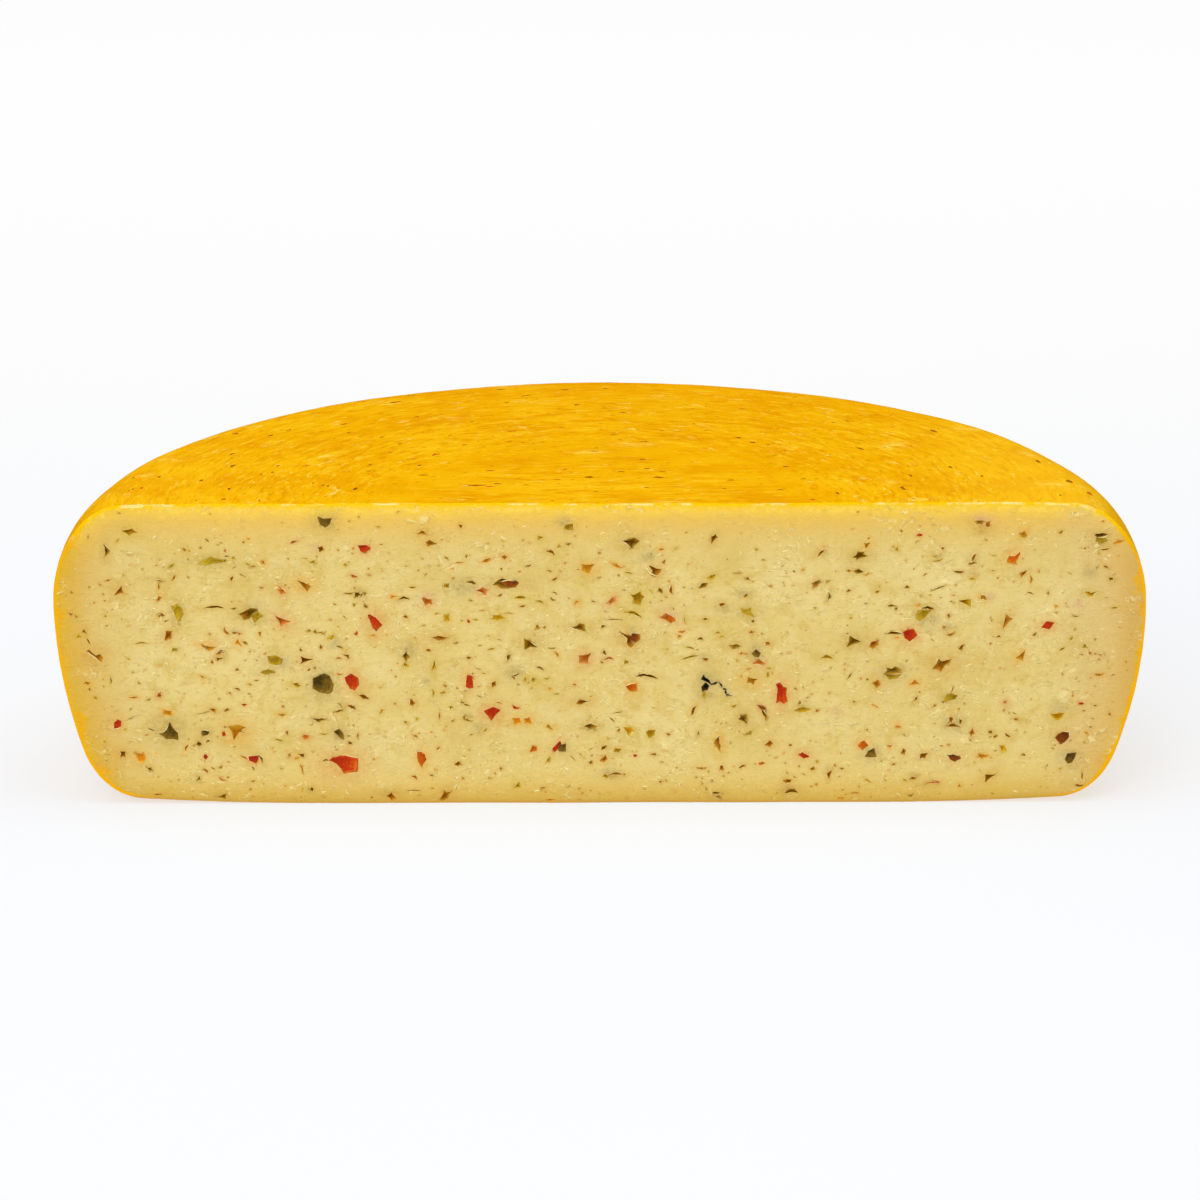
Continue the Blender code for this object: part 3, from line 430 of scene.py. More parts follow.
# Flakes that show through the rind's top, in mm: across and along from the part's middle, and their size
TOP_FLECKS = (
    (-32, -51, 5.9, 1.9), (-56, 33, 4.1, 1.3), (78, -56, 3.6, 1.6), (-3, -44, 2.8, 1.9),
    (121, -48, 3.6, 1.9), (-43, -21, 4.1, 1.6), (15, -44, 3.6, 1.8), (126, -56, 3.6, 1.8),
    (114, -28, 3.9, 1.2), (88, 1, 3.6, 1.5), (-96, -65, 2.1, 1.5), (-24, 3, 3.3, 1.1),
    (68, -17, 3.6, 1.2), (-63, -55, 3.1, 1.2), (61, -61, 2.6, 1.2), (48, -34, 2.3, 1.2),
    (65, 12, 2.3, 0.9), (-7, 29, 1.8, 1.1), (36, -5, 2.3, 1.4), (-103, -47, 2.1, 1.2),
    (-47, -32, 1.8, 1.1), (-53, -10, 1.8, 1.3), (16, -38, 1.8, 1.1), (91, -35, 2.3, 1.0),
    (-36, -11, 1.8, 1.0), (-84, -32, 1.8, 0.9), (-58, -3, 1.7, 0.9), (48, -18, 1.8, 0.9),
    (-114, -43, 1.8, 1.0), (12, -54, 1.7, 0.8), (-60, -31, 1.6, 0.9), (44, -12, 1.6, 0.8),
    (-87, -66, 1.6, 0.9), (-88, -41, 1.6, 0.8), (82, -69, 1.7, 0.8), (-1, -58, 1.6, 0.8),
    (-70, -52, 1.6, 0.9), (-67, 2, 1.8, 0.8), (32, -55, 1.5, 0.8), (-40, -1, 1.5, 0.7),
    (-74, -49, 1.5, 0.8), (16, 2, 1.5, 0.8), (-52, 40, 3.4, 0.9), (-28, 46, 2.6, 0.8),
)
RANDOM_FLECKS = 230

# Painted highlights on the rind's top, paler places where it catches the light: across, along, width and
# depth in mm
TOP_HIGHLIGHTS = (
    (119, -52, 11.8, 6), (-3, -19, 6.9, 4), (8, -11, 8.2, 4), (77, -13, 6.9, 5), (112, -21, 4.4, 5),
    (127, -63, 3.3, 8), (18, -68, 5.7, 2.6), (74, -50, 4.1, 3.6), (83, -66, 5.7, 2.6),
    (-41, 16, 6.2, 2.6), (-118, -41, 4.1, 3.4), (-113, -26, 6.2, 3.8), (-30, 50, 16, 3), (50, 49, 12, 3),
    (98, 4, 9, 4),
)

# Colours as seen, from 0 to 255. A mark has one near its rim, one at its bottom and one in the paste round
# it, and the strength of the last.
TINTS = {
    "black pit": ((84, 72, 34), (22, 22, 14), (170, 152, 96), 0.7),
    "dark pit": ((192, 148, 38), (104, 72, 4), (200, 162, 74), 0.75),
    "brown pit": ((208, 148, 40), (144, 84, 8), (212, 164, 70), 0.75),
    "orange pit": ((228, 170, 44), (208, 140, 18), (226, 168, 62), 0.75),
    "olive pit": ((218, 180, 44), (184, 142, 12), (210, 176, 66), 0.7),
    "red pit": ((218, 148, 66), (184, 100, 24), (220, 158, 86), 0.8),
    "crack": ((200, 150, 44), (122, 84, 12), (208, 168, 76), 0.65),
    "red flake": ((206, 110, 40), (140, 50, 14), (222, 158, 80), 0.75),
    "brown flake": ((150, 84, 20), (70, 40, 6), (216, 168, 90), 0.6),
    "orange flake": ((220, 140, 40), (176, 92, 14), (228, 168, 66), 0.65),
    "green flake": ((152, 118, 44), (70, 54, 18), (190, 158, 84), 0.8),
    "olive flake": ((184, 150, 46), (122, 94, 16), (196, 164, 72), 0.75),
}
STAIN_TINTS = {
    "grey": (184, 160, 98), "pink": (216, 168, 122), "orange": (226, 164, 62), "brown": (190, 150, 66),
}
STAIN_STRENGTH = 0.7
# The tint and strength of the painted highlights on the rind's top
HIGHLIGHT_TINT = (255, 214, 84)
HIGHLIGHT_STRENGTH = 0.9

# The skin of each kind of flake: its name, its dark, usual and light tone, and its roughness
FLAKES = {
    "red flake": ("red pepper", (152, 28, 10), (195, 56, 8), (228, 116, 28), 0.36),
    "brown flake": ("brown pepper", (84, 42, 6), (146, 70, 12), (198, 112, 44), 0.36),
    "orange flake": ("orange pepper", (170, 68, 4), (210, 102, 6), (234, 158, 32), 0.38),
    "green flake": ("dark green pepper", (60, 48, 10), (128, 96, 24), (182, 142, 56), 0.42),
    "olive flake": ("olive herb", (134, 102, 12), (194, 156, 28), (218, 184, 62), 0.44),
}
FLECK_SKIN = ("flakes in the rind", (112, 70, 8), (168, 100, 14), (216, 96, 30), 0.5)

# Light and camera
WHITE = (1.0, 1.0, 1.0, 1.0)
ROOM = {"From Min": 0.15, "From Max": 0.6, "To Min": 0.12, "To Max": 0.62}
OVERHEAD_POWER = 7.8
FRONT_POWER = 11.3
CAMERA_DISTANCE = 1.8
CAMERA_PITCH = math.radians(16.83)
CAMERA_ASIDE = 18 * MM
CAMERA_LENS = 210.4
CAMERA_ROLL = math.radians(0.12)
LOOK_DROP_PX = 654 - 600
FRAME_PX = 1200
SENSOR_MM = 36.0


# The wheel's form


def edge_curve(start, start_handle, end_handle, end, steps):
    return interpolate_bezier(start, start_handle, end_handle, end, steps + 1)[1:]


def edge_profile(steps):
    """Radius and height from the flat top's rim, over the side, to the inner end of the lower edge."""
    edge_start = WHEEL_RADIUS - UPPER_EDGE_WIDTH
    widest_height = WHEEL_HEIGHT - UPPER_EDGE_DROP
    upper_steps = round(steps * 0.36)
    lower_steps = round(steps * 0.24)
    side_steps = steps - upper_steps - lower_steps
    points = []
    for step in range(upper_steps + 1):
        angle = math.pi / 2 * step / upper_steps
        radius = edge_start + UPPER_EDGE_WIDTH * math.sin(angle)
        points.append(Vector((radius, widest_height + UPPER_EDGE_DROP * math.cos(angle))))
    widest = points[-1]
    side_handle = widest - Vector((0.0, SIDE_HANDLE_DROP))
    points += edge_curve(widest, side_handle, SIDE_FOOT + SIDE_FOOT_HANDLE, SIDE_FOOT, side_steps)
    foot_handle = SIDE_FOOT - SIDE_FOOT_HANDLE / 2
    edge_handle = LOWER_EDGE + LOWER_EDGE_HANDLE
    points += edge_curve(SIDE_FOOT, foot_handle, edge_handle, LOWER_EDGE, lower_steps)
    return points


def underside_height(radius):
    """The underside rises slightly from its flat foot to the lower edge."""
    share = (radius - FLAT_FOOT_RADIUS) / (LOWER_EDGE.x - FLAT_FOOT_RADIUS)
    return LOWER_EDGE.y * np.clip(share, 0.0, 1.0) ** 1.7


def disc_points(cells):
    """A square grid bent into a unit disc, ring by ring: x and y of its (cells + 1) squared points."""
    line = np.linspace(-1.0, 1.0, cells + 1)
    across, along = np.meshgrid(line, line, indexing="xy")
    wide = np.abs(across) > np.abs(along)
    reach = np.where(wide, across, along)
    safe = np.where(reach == 0, 1.0, reach)
    turn = np.where(wide, math.pi / 4 * along / safe, math.pi / 2 - math.pi / 4 * across / safe)
    return np.stack([(reach * np.cos(turn)).ravel(), (reach * np.sin(turn)).ravel()], 1)


def rim_order(cells):
    """The indices of the grid's rim, anticlockwise from its first corner."""
    side = cells + 1
    first = list(range(cells))
    second = [row * side + cells for row in range(cells)]
    third = [cells * side + column for column in range(cells, 0, -1)]
    fourth = [row * side for row in range(cells, 0, -1)]
    return first + second + third + fourth


def wheel_mesh(name, cells, rows):
    """The closed skin of the whole wheel, axis at the origin: two bent grids and a band between them."""
    disc = disc_points(cells)
    profile = edge_profile(rows)
    rim = rim_order(cells)
    top_radius = profile[0].x
    top = np.column_stack([disc * top_radius, np.full(len(disc), WHEEL_HEIGHT)])
    reach = np.linalg.norm(disc, axis=1) * LOWER_EDGE.x
    bottom = np.column_stack([disc * LOWER_EDGE.x, underside_height(reach)])
    directions = disc[rim]
    bands = [np.column_stack([directions * point.x, np.full(len(rim), point.y)]) for point in profile[1:-1]]
    vertices = np.concatenate([top, *bands, bottom])
    corner = np.arange(cells * (cells + 1)).reshape(cells, cells + 1)[:, :cells].ravel()
    side = cells + 1
    grid = np.column_stack([corner, corner + 1, corner + side + 1, corner + side])
    bottom_start = len(vertices) - len(bottom)
    loops = [np.array(rim)]
    loops += [len(top) + row * len(rim) + np.arange(len(rim)) for row in range(len(bands))]
    loops.append(bottom_start + np.array(rim))
    band_faces = [
        np.column_stack([upper, lower, np.roll(lower, -1), np.roll(upper, -1)])
        for upper, lower in zip(loops, loops[1:])
    ]
    faces = np.concatenate([grid, grid[:, ::-1] + bottom_start, *band_faces])
    mesh = bpy.data.meshes.new(name)
    mesh.from_pydata(vertices.tolist(), [], faces.tolist())
    mesh.update()
    return mesh


def read_points(mesh):
    points = np.empty(len(mesh.vertices) * 3, np.float32)
    mesh.vertices.foreach_get("co", points)
    return points.reshape(-1, 3).astype(np.float64)


def write_points(mesh, points):
    mesh.vertices.foreach_set("co", points.astype(np.float32).ravel())
    mesh.update()


def noise_values(points, length, shift=0.0):
    """Smooth noise between about -1 and 1 at each point, with features of the given length."""
    offset = Vector((shift, shift * 0.7, -shift * 0.4))
    return np.array([noise.noise(Vector(point) / length + offset) for point in points])


def displace_wheel(mesh, below, grain):
    """Moves a wheel's skin along its normals: the slow waves of the part, a depth below it and a grain."""
    points = read_points(mesh)
    normals = np.empty(len(points) * 3, np.float32)
    mesh.vertex_normals.foreach_get("vector", normals)
    share = np.clip((points[:, 2] - EVEN_BELOW_Z) / (UNEVEN_ABOVE_Z - EVEN_BELOW_Z), 0.0, 1.0)
    rise = noise_values(points, RIND_WAVE_LENGTH) * RIND_WAVE_HEIGHT * share
    if grain:
        coarse = noise_values(points, RIND_GRAIN_LENGTH, 3.1)
        fine = noise_values(points, RIND_GRAIN_LENGTH / 2.3, 5.7)
        rise += ((coarse + 0.6 * fine) * RIND_GRAIN_HEIGHT - RIND_SINK) * share
    if below is not None:
        rise -= below(points)
    write_points(mesh, points + normals.reshape(-1, 3) * rise[:, None])


def rind_depth(points):
    """How thick the rind is at each point: thinner on the flat top and foot than round the side."""
    patchy = 0.5 + 0.5 * noise_values(points, 9 * MM, 11.0)
    fine = 0.5 * noise_values(points, 2.6 * MM, 4.0)
    radius = np.hypot(points[:, 0], points[:, 1])
    side = np.clip((radius - 104 * MM) / (30 * MM), 0.0, 1.0)
    share = np.clip(0.8 * side * patchy + 0.15 * patchy + 0.2 * fine, 0.0, 1.0)
    return RIND_THINNEST + (RIND_THICKEST - RIND_THINNEST) * share


# Objects and solids


def new_object(name, mesh):
    obj = bpy.data.objects.new(name, mesh)
    bpy.context.scene.collection.objects.link(obj)
    return obj


def joined_mesh(name, shapes):
    """One mesh of many small closed shapes, each given as its points and faces."""
    vertices = []
    faces = []
    for points, sides in shapes:
        start = len(vertices)
        vertices += points
        faces += [tuple(start + index for index in side) for side in sides]
    mesh = bpy.data.meshes.new(name)
    mesh.from_pydata(vertices, [], faces)
    mesh.update()
    return mesh


def tube_faces(rings, count):
    """The faces of a closed solid whose points come ring by ring: two ends and the bands between them."""
    faces = [tuple(range(count))]
    for near in range(0, (rings - 1) * count, count):
        for index in range(count):
            following = (index + 1) % count
            faces.append((near + following, near + index, near + count + index, near + count + following))
    faces.append(tuple((rings - 1) * count + index for index in reversed(range(count))))
    return faces


def apply_boolean(obj, operation, other):
    """Cuts the object with another closed one, and leaves the result as its mesh."""
    modifier = obj.modifiers.new(operation.lower(), "BOOLEAN")
    modifier.operation = operation
    modifier.solver = "MANIFOLD"
    modifier.object = other
    depsgraph = bpy.context.evaluated_depsgraph_get()
    mesh = bpy.data.meshes.new_from_object(obj.evaluated_get(depsgraph))
    obj.modifiers.clear()
    obj.data = mesh


def remove(obj):
    bpy.data.objects.remove(obj, do_unlink=True)


# The cut face


def torn(across, height):
    """How much the paste is torn at a place of the cut face, between about -1 and 1."""
    return noise.noise(Vector((across, 0.0, height)) / TORN_LENGTH + TORN_OFFSET)


def face_relief(across, height):
    """How far the cut face lies behind the cut plane: slow waves, grain and small torn ledges."""
    spot = Vector((across, 0.0, height))
    slow = noise.noise(spot / FACE_WAVE_LENGTH) * FACE_WAVE_HEIGHT
    grain = noise.noise(spot / (2.2 * MM)) * 0.06 * MM + noise.noise(spot / (1.2 * MM)) * 0.04 * MM
    amount = min(max((torn(across, height) + 0.2) / 0.4, 0.0), 1.0)
    swirl = noise.noise(spot / (7.5 * MM) + Vector((9.0, 0.0, 5.0))) * 3.4
    step = swirl - math.floor(swirl)
    return slow + grain + amount * (step - 0.5) * 0.24 * MM


def build_knife():
    """A slab in front of the wheel whose near side has the cut face's relief."""
    width = 2 * (WHEEL_RADIUS + FACE_OVERHANG)
    tall = WHEEL_HEIGHT + 2 * FACE_OVERHANG
    columns = round(width / FACE_CELL)
    rows = round(tall / FACE_CELL)
    slab = bmesh.new()
    bmesh.ops.create_grid(slab, x_segments=columns, y_segments=rows, size=0.5)
    for vertex in slab.verts:
        across = vertex.co.x * width
        height = vertex.co.y * tall + WHEEL_HEIGHT / 2
        vertex.co = (across, CUT_Y + face_relief(across, height), height)
    made = bmesh.ops.extrude_face_region(slab, geom=list(slab.faces))
    front = [item for item in made["geom"] if isinstance(item, bmesh.types.BMVert)]
    bmesh.ops.translate(slab, vec=(0.0, -KNIFE_THICKNESS, 0.0), verts=front)
    bmesh.ops.recalc_face_normals(slab, faces=slab.faces)
    mesh = bpy.data.meshes.new("knife")
    slab.to_mesh(mesh)
    slab.free()
    return new_object("knife", mesh)


def fitted(points):
    """The points moved and scaled into the unit square, with the middle and the size they had."""
    low = Vector((min(point.x for point in points), min(point.y for point in points)))
    high = Vector((max(point.x for point in points), max(point.y for point in points)))
    middle = (low + high) / 2
    size = high - low
    square = [Vector(((point.x - middle.x) / size.x, (point.y - middle.y) / size.y)) for point in points]
    return square, middle, size


def anticlockwise(points):
    turns = [first.cross(second) for first, second in zip(points, points[1:] + points[:1])]
    return points if sum(turns) > 0 else points[::-1]


def is_flake(mark):
    return mark.kind.endswith("flake")


def size_of(mark):
    return math.sqrt(mark.width * mark.tall)


def outlined_mark(kind, rows):
    """A mark from its outline in mm, with each side of it slightly ragged."""
    corners = anticlockwise([Vector(row) * MM for row in rows])
    ragged = []
    for corner, following in zip(corners, corners[1:] + corners[:1]):
        side = following - corner
        sway = noise.noise(Vector((corner.x, corner.y, 0.0)) / (0.4 * MM)) * 0.12
        ragged += [corner, corner + side * (0.5 + sway) + Vector((side.y, -side.x)) * sway * 0.6]
    square, middle, size = fitted(ragged)
    size *= FLAKE_SWELL if kind.endswith("flake") else 1.0
    return Mark(kind, middle.x, middle.y, size.x, size.y, 0.0, square)


def star_outline(corners, hollow, rng, per_side):
    """A closed outline with uneven tips and curved-in sides that just fills a unit square."""
    start = rng.uniform(0, 2 * math.pi)
    tips = []
    for corner in range(corners):
        angle = start + 2 * math.pi * (corner + rng.uniform(-0.28, 0.28)) / corners
        tips.append(Vector((math.cos(angle), math.sin(angle))) * rng.uniform(0.5, 1.0))
    outline = []
    for tip, following in zip(tips, tips[1:] + tips[:1]):
        own = hollow * rng.uniform(0.2, 1.5)
        for step in range(per_side):
            share = step / per_side
            bend = 1 - own * 4 * share * (1 - share) + (rng.uniform(-0.08, 0.08) if step else 0.0)
            outline.append(tip.lerp(following, share) * bend)
    return fitted(outline)[0]


def lens_outline(bend, rng):
    """A thin ragged outline with two sharp ends, bowed to one side."""
    upper = []
    lower = []
    for step in range(1, 6):
        share = step / 6
        rise = 2 * share * (1 - share)
        sag = bend * (4 * share * (1 - share) - 0.5)
        upper.append(Vector((share - 0.5, sag + rise * rng.uniform(0.4, 1.15))))
        lower.append(Vector((share - 0.5, sag - rise * rng.uniform(0.4, 1.15))))
    ends = (Vector((-0.5, -bend / 2)), Vector((0.5, -bend / 2)))
    return [ends[0], *lower, ends[1], *reversed(upper)]


def shaped(mark, rng):
    """The mark with an outline of its own: a thin lens where it is long, and else a ragged star."""
    if mark.outline:
        return mark
    if mark.kind == "crack" or max(mark.width, mark.tall) > 2.3 * min(mark.width, mark.tall):
        outline = lens_outline(rng.uniform(-0.8, 0.8), rng)
        if mark.tall > mark.width:
            outline = [Vector((-point.y, point.x)) for point in outline]
        return mark._replace(outline=outline)
    small = size_of(mark) < 0.9 * MM
    corners = rng.choice((3, 4, 4) if small else (4, 5, 5, 6) if is_flake(mark) else (3, 4, 4, 5))
    hollow = rng.uniform(-0.08, 0.14) if is_flake(mark) else rng.uniform(0.02, 0.26)
    return mark._replace(outline=star_outline(corners, hollow, rng, 2 if small else 3))


def on_face(mark, points):
    """Across and height of points that are given within the mark's unit square."""
    turn = math.radians(mark.turn)
    cosine, sine = math.cos(turn), math.sin(turn)
    places = []
    for point in points:
        wide, tall = point.x * mark.width, point.y * mark.tall
        across, up = wide * cosine - tall * sine, wide * sine + tall * cosine
        places.append((mark.across + across, mark.height + up))
    return places


def ring_solid(mark, levels, rng, lean=0.0, uneven=0.0):
    """A closed solid of stacked rings on a mark: each level is a depth behind the face and a scale."""
    base = CUT_Y + face_relief(mark.across, mark.height)
    drift = Vector((rng.uniform(-lean, lean), rng.uniform(-lean, lean)))
    deepest = max(levels[-1][0], 0.01 * MM)
    points = []
    for depth, scale in levels:
        slide = drift * max(depth, 0.0) / deepest
        for across, height in on_face(mark, [point * scale + slide for point in mark.outline]):
            lift = rng.uniform(-uneven, uneven) if depth == levels[0][0] else 0.0
            points.append((across, base + depth + lift, height))
    return points, tube_faces(len(levels), len(mark.outline))


def pit_solid(mark, rng):
    """The cutter of one opening, which narrows to a small uneven bottom, or of a flake's shallow socket."""
    if is_flake(mark):
        wall = ((-PIT_LIFT, SOCKET_SCALE + 0.06), (0.0, SOCKET_SCALE), (SOCKET_DEPTH, 1.02))
        return ring_solid(mark, wall, rng, lean=0.03)
    depth = min(max(rng.uniform(0.3, 0.48) * size_of(mark), 0.18 * MM), PIT_DEEPEST)
    wall = ((-PIT_LIFT, 1.0 + 0.25 * PIT_LIFT / depth), (0.0, 1.1), (0.15 * depth, 1.01), (depth, 0.3))
    return ring_solid(mark, wall, rng, lean=0.1)


def box_of(mark):
    """The mark's box with a little room round it: left, right, low and high."""
    places = on_face(mark, [point * (SOCKET_SCALE + 0.08) for point in mark.outline])
    gap = 0.05 * MM
    return [end(values) + room for values in zip(*places) for end, room in ((min, -gap), (max, gap))]


def clear_groups(marks):
    """Groups of marks that lie clear of each other, because the parts of one cutter mustn't overlap."""
    groups = []
    for mark in marks:
        left, right, low, high = box_of(mark)
        for members, boxes in groups:
            if all(right < box[0] or left > box[1] or high < box[2] or low > box[3] for box in boxes):
                break
        else:
            members, boxes = [], []
            groups.append((members, boxes))
        members.append(mark)
        boxes.append((left, right, low, high))
    return [members for members, _ in groups]


def edge_half_width(height, profile):
    """Half the width of the cut face at a height."""
    heights = [point.y for point in reversed(profile)]
    radii = [point.x for point in reversed(profile)]
    return float(np.interp(height, heights, radii))


def calm_share(across, height, profile):
    """1 over most of the face, falling to 0 towards its sides and its top, where the paste is smooth."""
    inside = min(WHEEL_HEIGHT - height, edge_half_width(height, profile) - abs(across))
    return min(1.0, max(0.0, (inside - 3 * MM) / (8 * MM)))


def cell_of(across, height):
    return int(across // MARK_CELL), int(height // MARK_CELL)


def free(across, height, radius, taken):
    """Whether a place is clear of the marks in its own cell and in the ones round it."""
    column, row = cell_of(across, height)
    near = [
        other
        for dx in (-1, 0, 1)
        for dz in (-1, 0, 1)
        for other in taken.get((column + dx, row + dz), ())
    ]
    return all(math.hypot(across - x, height - z) >= radius + r + MARK_GAP for x, z, r in near)


def scatter(count, smallest, largest, margin, kinds, taken, profile, rng):
    """Free places for small marks, denser in some parts of the face than in others."""
    marks = []
    tries = 0
    while len(marks) < count and tries < count * 60:
        tries += 1
        height = rng.uniform(margin, WHEEL_HEIGHT - margin)
        reach = edge_half_width(height, profile) - margin
        across = rng.uniform(-reach, reach)
        spot = Vector((across, 0.0, height))
        crowd = noise.noise(spot / (16 * MM) + Vector((1.5, 0.0, 8.0))) + 0.6 * noise.noise(spot / (5 * MM))
        if rng.random() > (0.5 + 0.9 * crowd) * (0.2 + 0.8 * calm_share(across, height, profile)):
            continue
        size = smallest + (largest - smallest) * rng.random() ** 1.6
        stretch = rng.uniform(0.75, 1.6)
        if not free(across, height, size / 2, taken):
            continue
        taken.setdefault(cell_of(across, height), []).append((across, height, size / 2))
        kind = rng.choices(list(kinds), list(kinds.values()))[0]
        if kind == "crack":
            long = max(size * 1.8, 1.1 * MM)
            marks.append(Mark(kind, across, height, long, rng.uniform(0.22, 0.42) * MM, rng.gauss(0, 28)))
        else:
            marks.append(Mark(kind, across, height, size * stretch, size / stretch, rng.uniform(-35, 35)))
    return marks


def collect_marks(profile, rng):
    """All the marks of the face: the placed ones and, between them, ever smaller scattered ones."""
    marks = [outlined_mark(kind, rows) for kind, outlines in OUTLINES.items() for rows in outlines]
    for kind, rows in PLACED_MARKS.items():
        wider, taller = CRACK_STRETCH if kind == "crack" else PIT_STRETCH
        for across, height, width, tall, *turn in rows:
            size = (width * wider * MM, tall * taller * MM)
            marks.append(Mark(kind, across * MM, height * MM, *size, turn[0] if turn else 0.0))
    taken = {}
    for mark in marks:
        radius = max(mark.width, mark.tall) / 2
        taken.setdefault(cell_of(mark.across, mark.height), []).append((mark.across, mark.height, radius))
    for count, smallest, largest, margin, kinds in SCATTERED:
        marks += scatter(count, smallest * MM, largest * MM, margin * MM, kinds, taken, profile, rng)
    return [shaped(mark, rng) for mark in marks]


# Paint that the meshes carry


def seen(red, green, blue):
    """A colour as seen, from 0 to 255, as the linear values that shaders take."""
    shares = [value / 255 for value in (red, green, blue)]
    linear = [share / 12.92 if share <= 0.04045 else ((share + 0.055) / 1.055) ** 2.4 for share in shares]
    return (*linear, 1.0)


def store(mesh, name, rows):
    attribute = mesh.color_attributes.new(name, "FLOAT_COLOR", "POINT")
    attribute.data.foreach_set("color", rows.astype(np.float32).ravel())


def lay_stain(table, near, away, tint, strength):
    """Lays a soft stain over the near rows of a colour table wherever it is stronger than what is there."""
    soft = strength * np.exp(-((away / 0.55) ** 2))
    grown = soft > table[near, 3]
    table[near[grown], :3] = seen(*tint)[:3]
    table[near[grown], 3] = soft[grown]


def lay_spots(table, across, along, allowed, rows, tint, strength):
    """Lays a soft oval stain for each place and size in mm, over the rows of the table that are allowed."""
    for x, y, wide, deep in rows:
        away = np.hypot((across - x * MM) / (wide * MM), (along - y * MM) / (deep * MM))
        near = np.flatnonzero(allowed & (away < 1.2))
        lay_stain(table, near, away[near], tint, strength)


def pit_paint(mark, up, depth, brightness):
    """Colour and cover inside an opening: deeper is darker, and the side under its upper rim is darker too,
    as painted shade.
    """
    rim, deep = (np.array(seen(*tint)[:3]) for tint in TINTS[mark.kind][:2])
    size = size_of(mark)
    deep = rim + (deep - rim) * min(max(size / (1.3 * MM), 0.5), 1.0)
    # The 0.12 * up term darkens the opening's upper side: painted shade under its upper rim
    share = np.clip(depth / min(0.34 * size, 0.75 * MM) + 0.12 * up, 0.0, 1.0)[:, None]
    colour = (rim * (1 - share) + deep * share) * brightness
    return np.column_stack([colour, np.clip(depth / (0.07 * MM), 0.0, 1.0)])


def edge_places(across, height, profile):
    """Distance from each place on the face to its outline, and the height of the nearest place there."""
    line = [Vector((x * MM, WHEEL_HEIGHT)) for x in range(0, round(profile[0].x / MM))]
    line += profile
    inwards = range(round(LOWER_EDGE.x / MM), -1, -1)
    line += [Vector((x * MM, float(underside_height(x * MM)))) for x in inwards]
    steps = 5
    pairs = zip(line, line[1:])
    dense = [first.lerp(second, step / steps) for first, second in pairs for step in range(steps)]
    tree = KDTree(len(dense))
    for index, point in enumerate(dense):
        tree.insert((point.x, 0.0, point.y), index)
    tree.balance()
    found = [tree.find((abs(x), 0.0, z)) for x, z in zip(across, height)]
    distance = np.array([item[2] for item in found])
    level = np.array([item[0].z for item in found])
    return distance, level


def paint_paste(mesh, marks, profile, rng):
    """Stores on each point of the paste the paint of openings, the stains round marks and the edge."""
    points = read_points(mesh)
    across, height = points[:, 0], points[:, 2]
    front = points[:, 1] < CUT_Y + 6 * MM
    relief = np.array([face_relief(x, z) if shown else 0.0 for x, z, shown in zip(across, height, front)])
    depth = points[:, 1] - CUT_Y - relief
    pit = np.zeros((len(points), 4))
    halo = np.zeros((len(points), 4))
    halo[:, :3] = seen(*STAIN_TINTS["grey"])[:3]
    for kind, rows in STAINS.items():
        lay_spots(halo, across, height, front, rows, STAIN_TINTS[kind], STAIN_STRENGTH)
    for mark in marks:
        wide, tall = across - mark.across, height - mark.height
        reach = max(mark.width, mark.tall) * 1.4 + 0.8 * MM
        near = np.flatnonzero((np.abs(wide) < reach) & (np.abs(tall) < reach) & front)
        if not len(near):
            continue
        turn = math.radians(mark.turn)
        along = (wide[near] * math.cos(turn) + tall[near] * math.sin(turn)) / mark.width
        up = (tall[near] * math.cos(turn) - wide[near] * math.sin(turn)) / mark.tall
        away = np.hypot(along, up)
        brightness = rng.uniform(0.8, 1.35)
        inside = (away < 0.82) & (depth[near] > 0.015 * MM)
        pit[near[inside]] = pit_paint(mark, up[inside], depth[near[inside]], brightness)
        strength = TINTS[mark.kind][3] * min(1.0, 0.6 + size_of(mark) / (2.2 * MM))
        lay_stain(halo, near, away * 0.57, TINTS[mark.kind][2], strength)
    distance, level = edge_places(across, height, profile)
    place = np.zeros((len(points), 4))
    place[:, 0] = np.clip(distance / EDGE_REACH, 0.0, 1.0)
    place[:, 2] = level / WHEEL_HEIGHT
    for name, rows in (("pit", pit), ("halo", halo), ("place", place)):
        store(mesh, name, rows)


def paint_rind(mesh):
    """Stores the painted highlights of the rind's top, as paler places."""
    points = read_points(mesh)
    highlight_spots = np.zeros((len(points), 4))
    highlight_spots[:, :3] = seen(*HIGHLIGHT_TINT)[:3]
    on_top = points[:, 2] > WHEEL_HEIGHT - 12 * MM
    # Painted highlights: paler places where the top catches the light
    lay_spots(highlight_spots, points[:, 0], points[:, 1], on_top, TOP_HIGHLIGHTS, HIGHLIGHT_TINT, HIGHLIGHT_STRENGTH)
    store(mesh, "highlight_spots", highlight_spots)


def loop_places(mesh):
    """For each corner of each face: its point, and the middle and the normal of its face."""
    points = read_points(mesh)
    centres = np.array([polygon.center for polygon in mesh.polygons])
    normals = np.array([polygon.normal for polygon in mesh.polygons])
    loops = np.empty(len(mesh.loops), np.int32)
    mesh.loops.foreach_get("vertex_index", loops)
    owner = np.repeat(np.arange(len(mesh.polygons)), [polygon.loop_total for polygon in mesh.polygons])
    return points[loops], centres[owner], normals[owner]


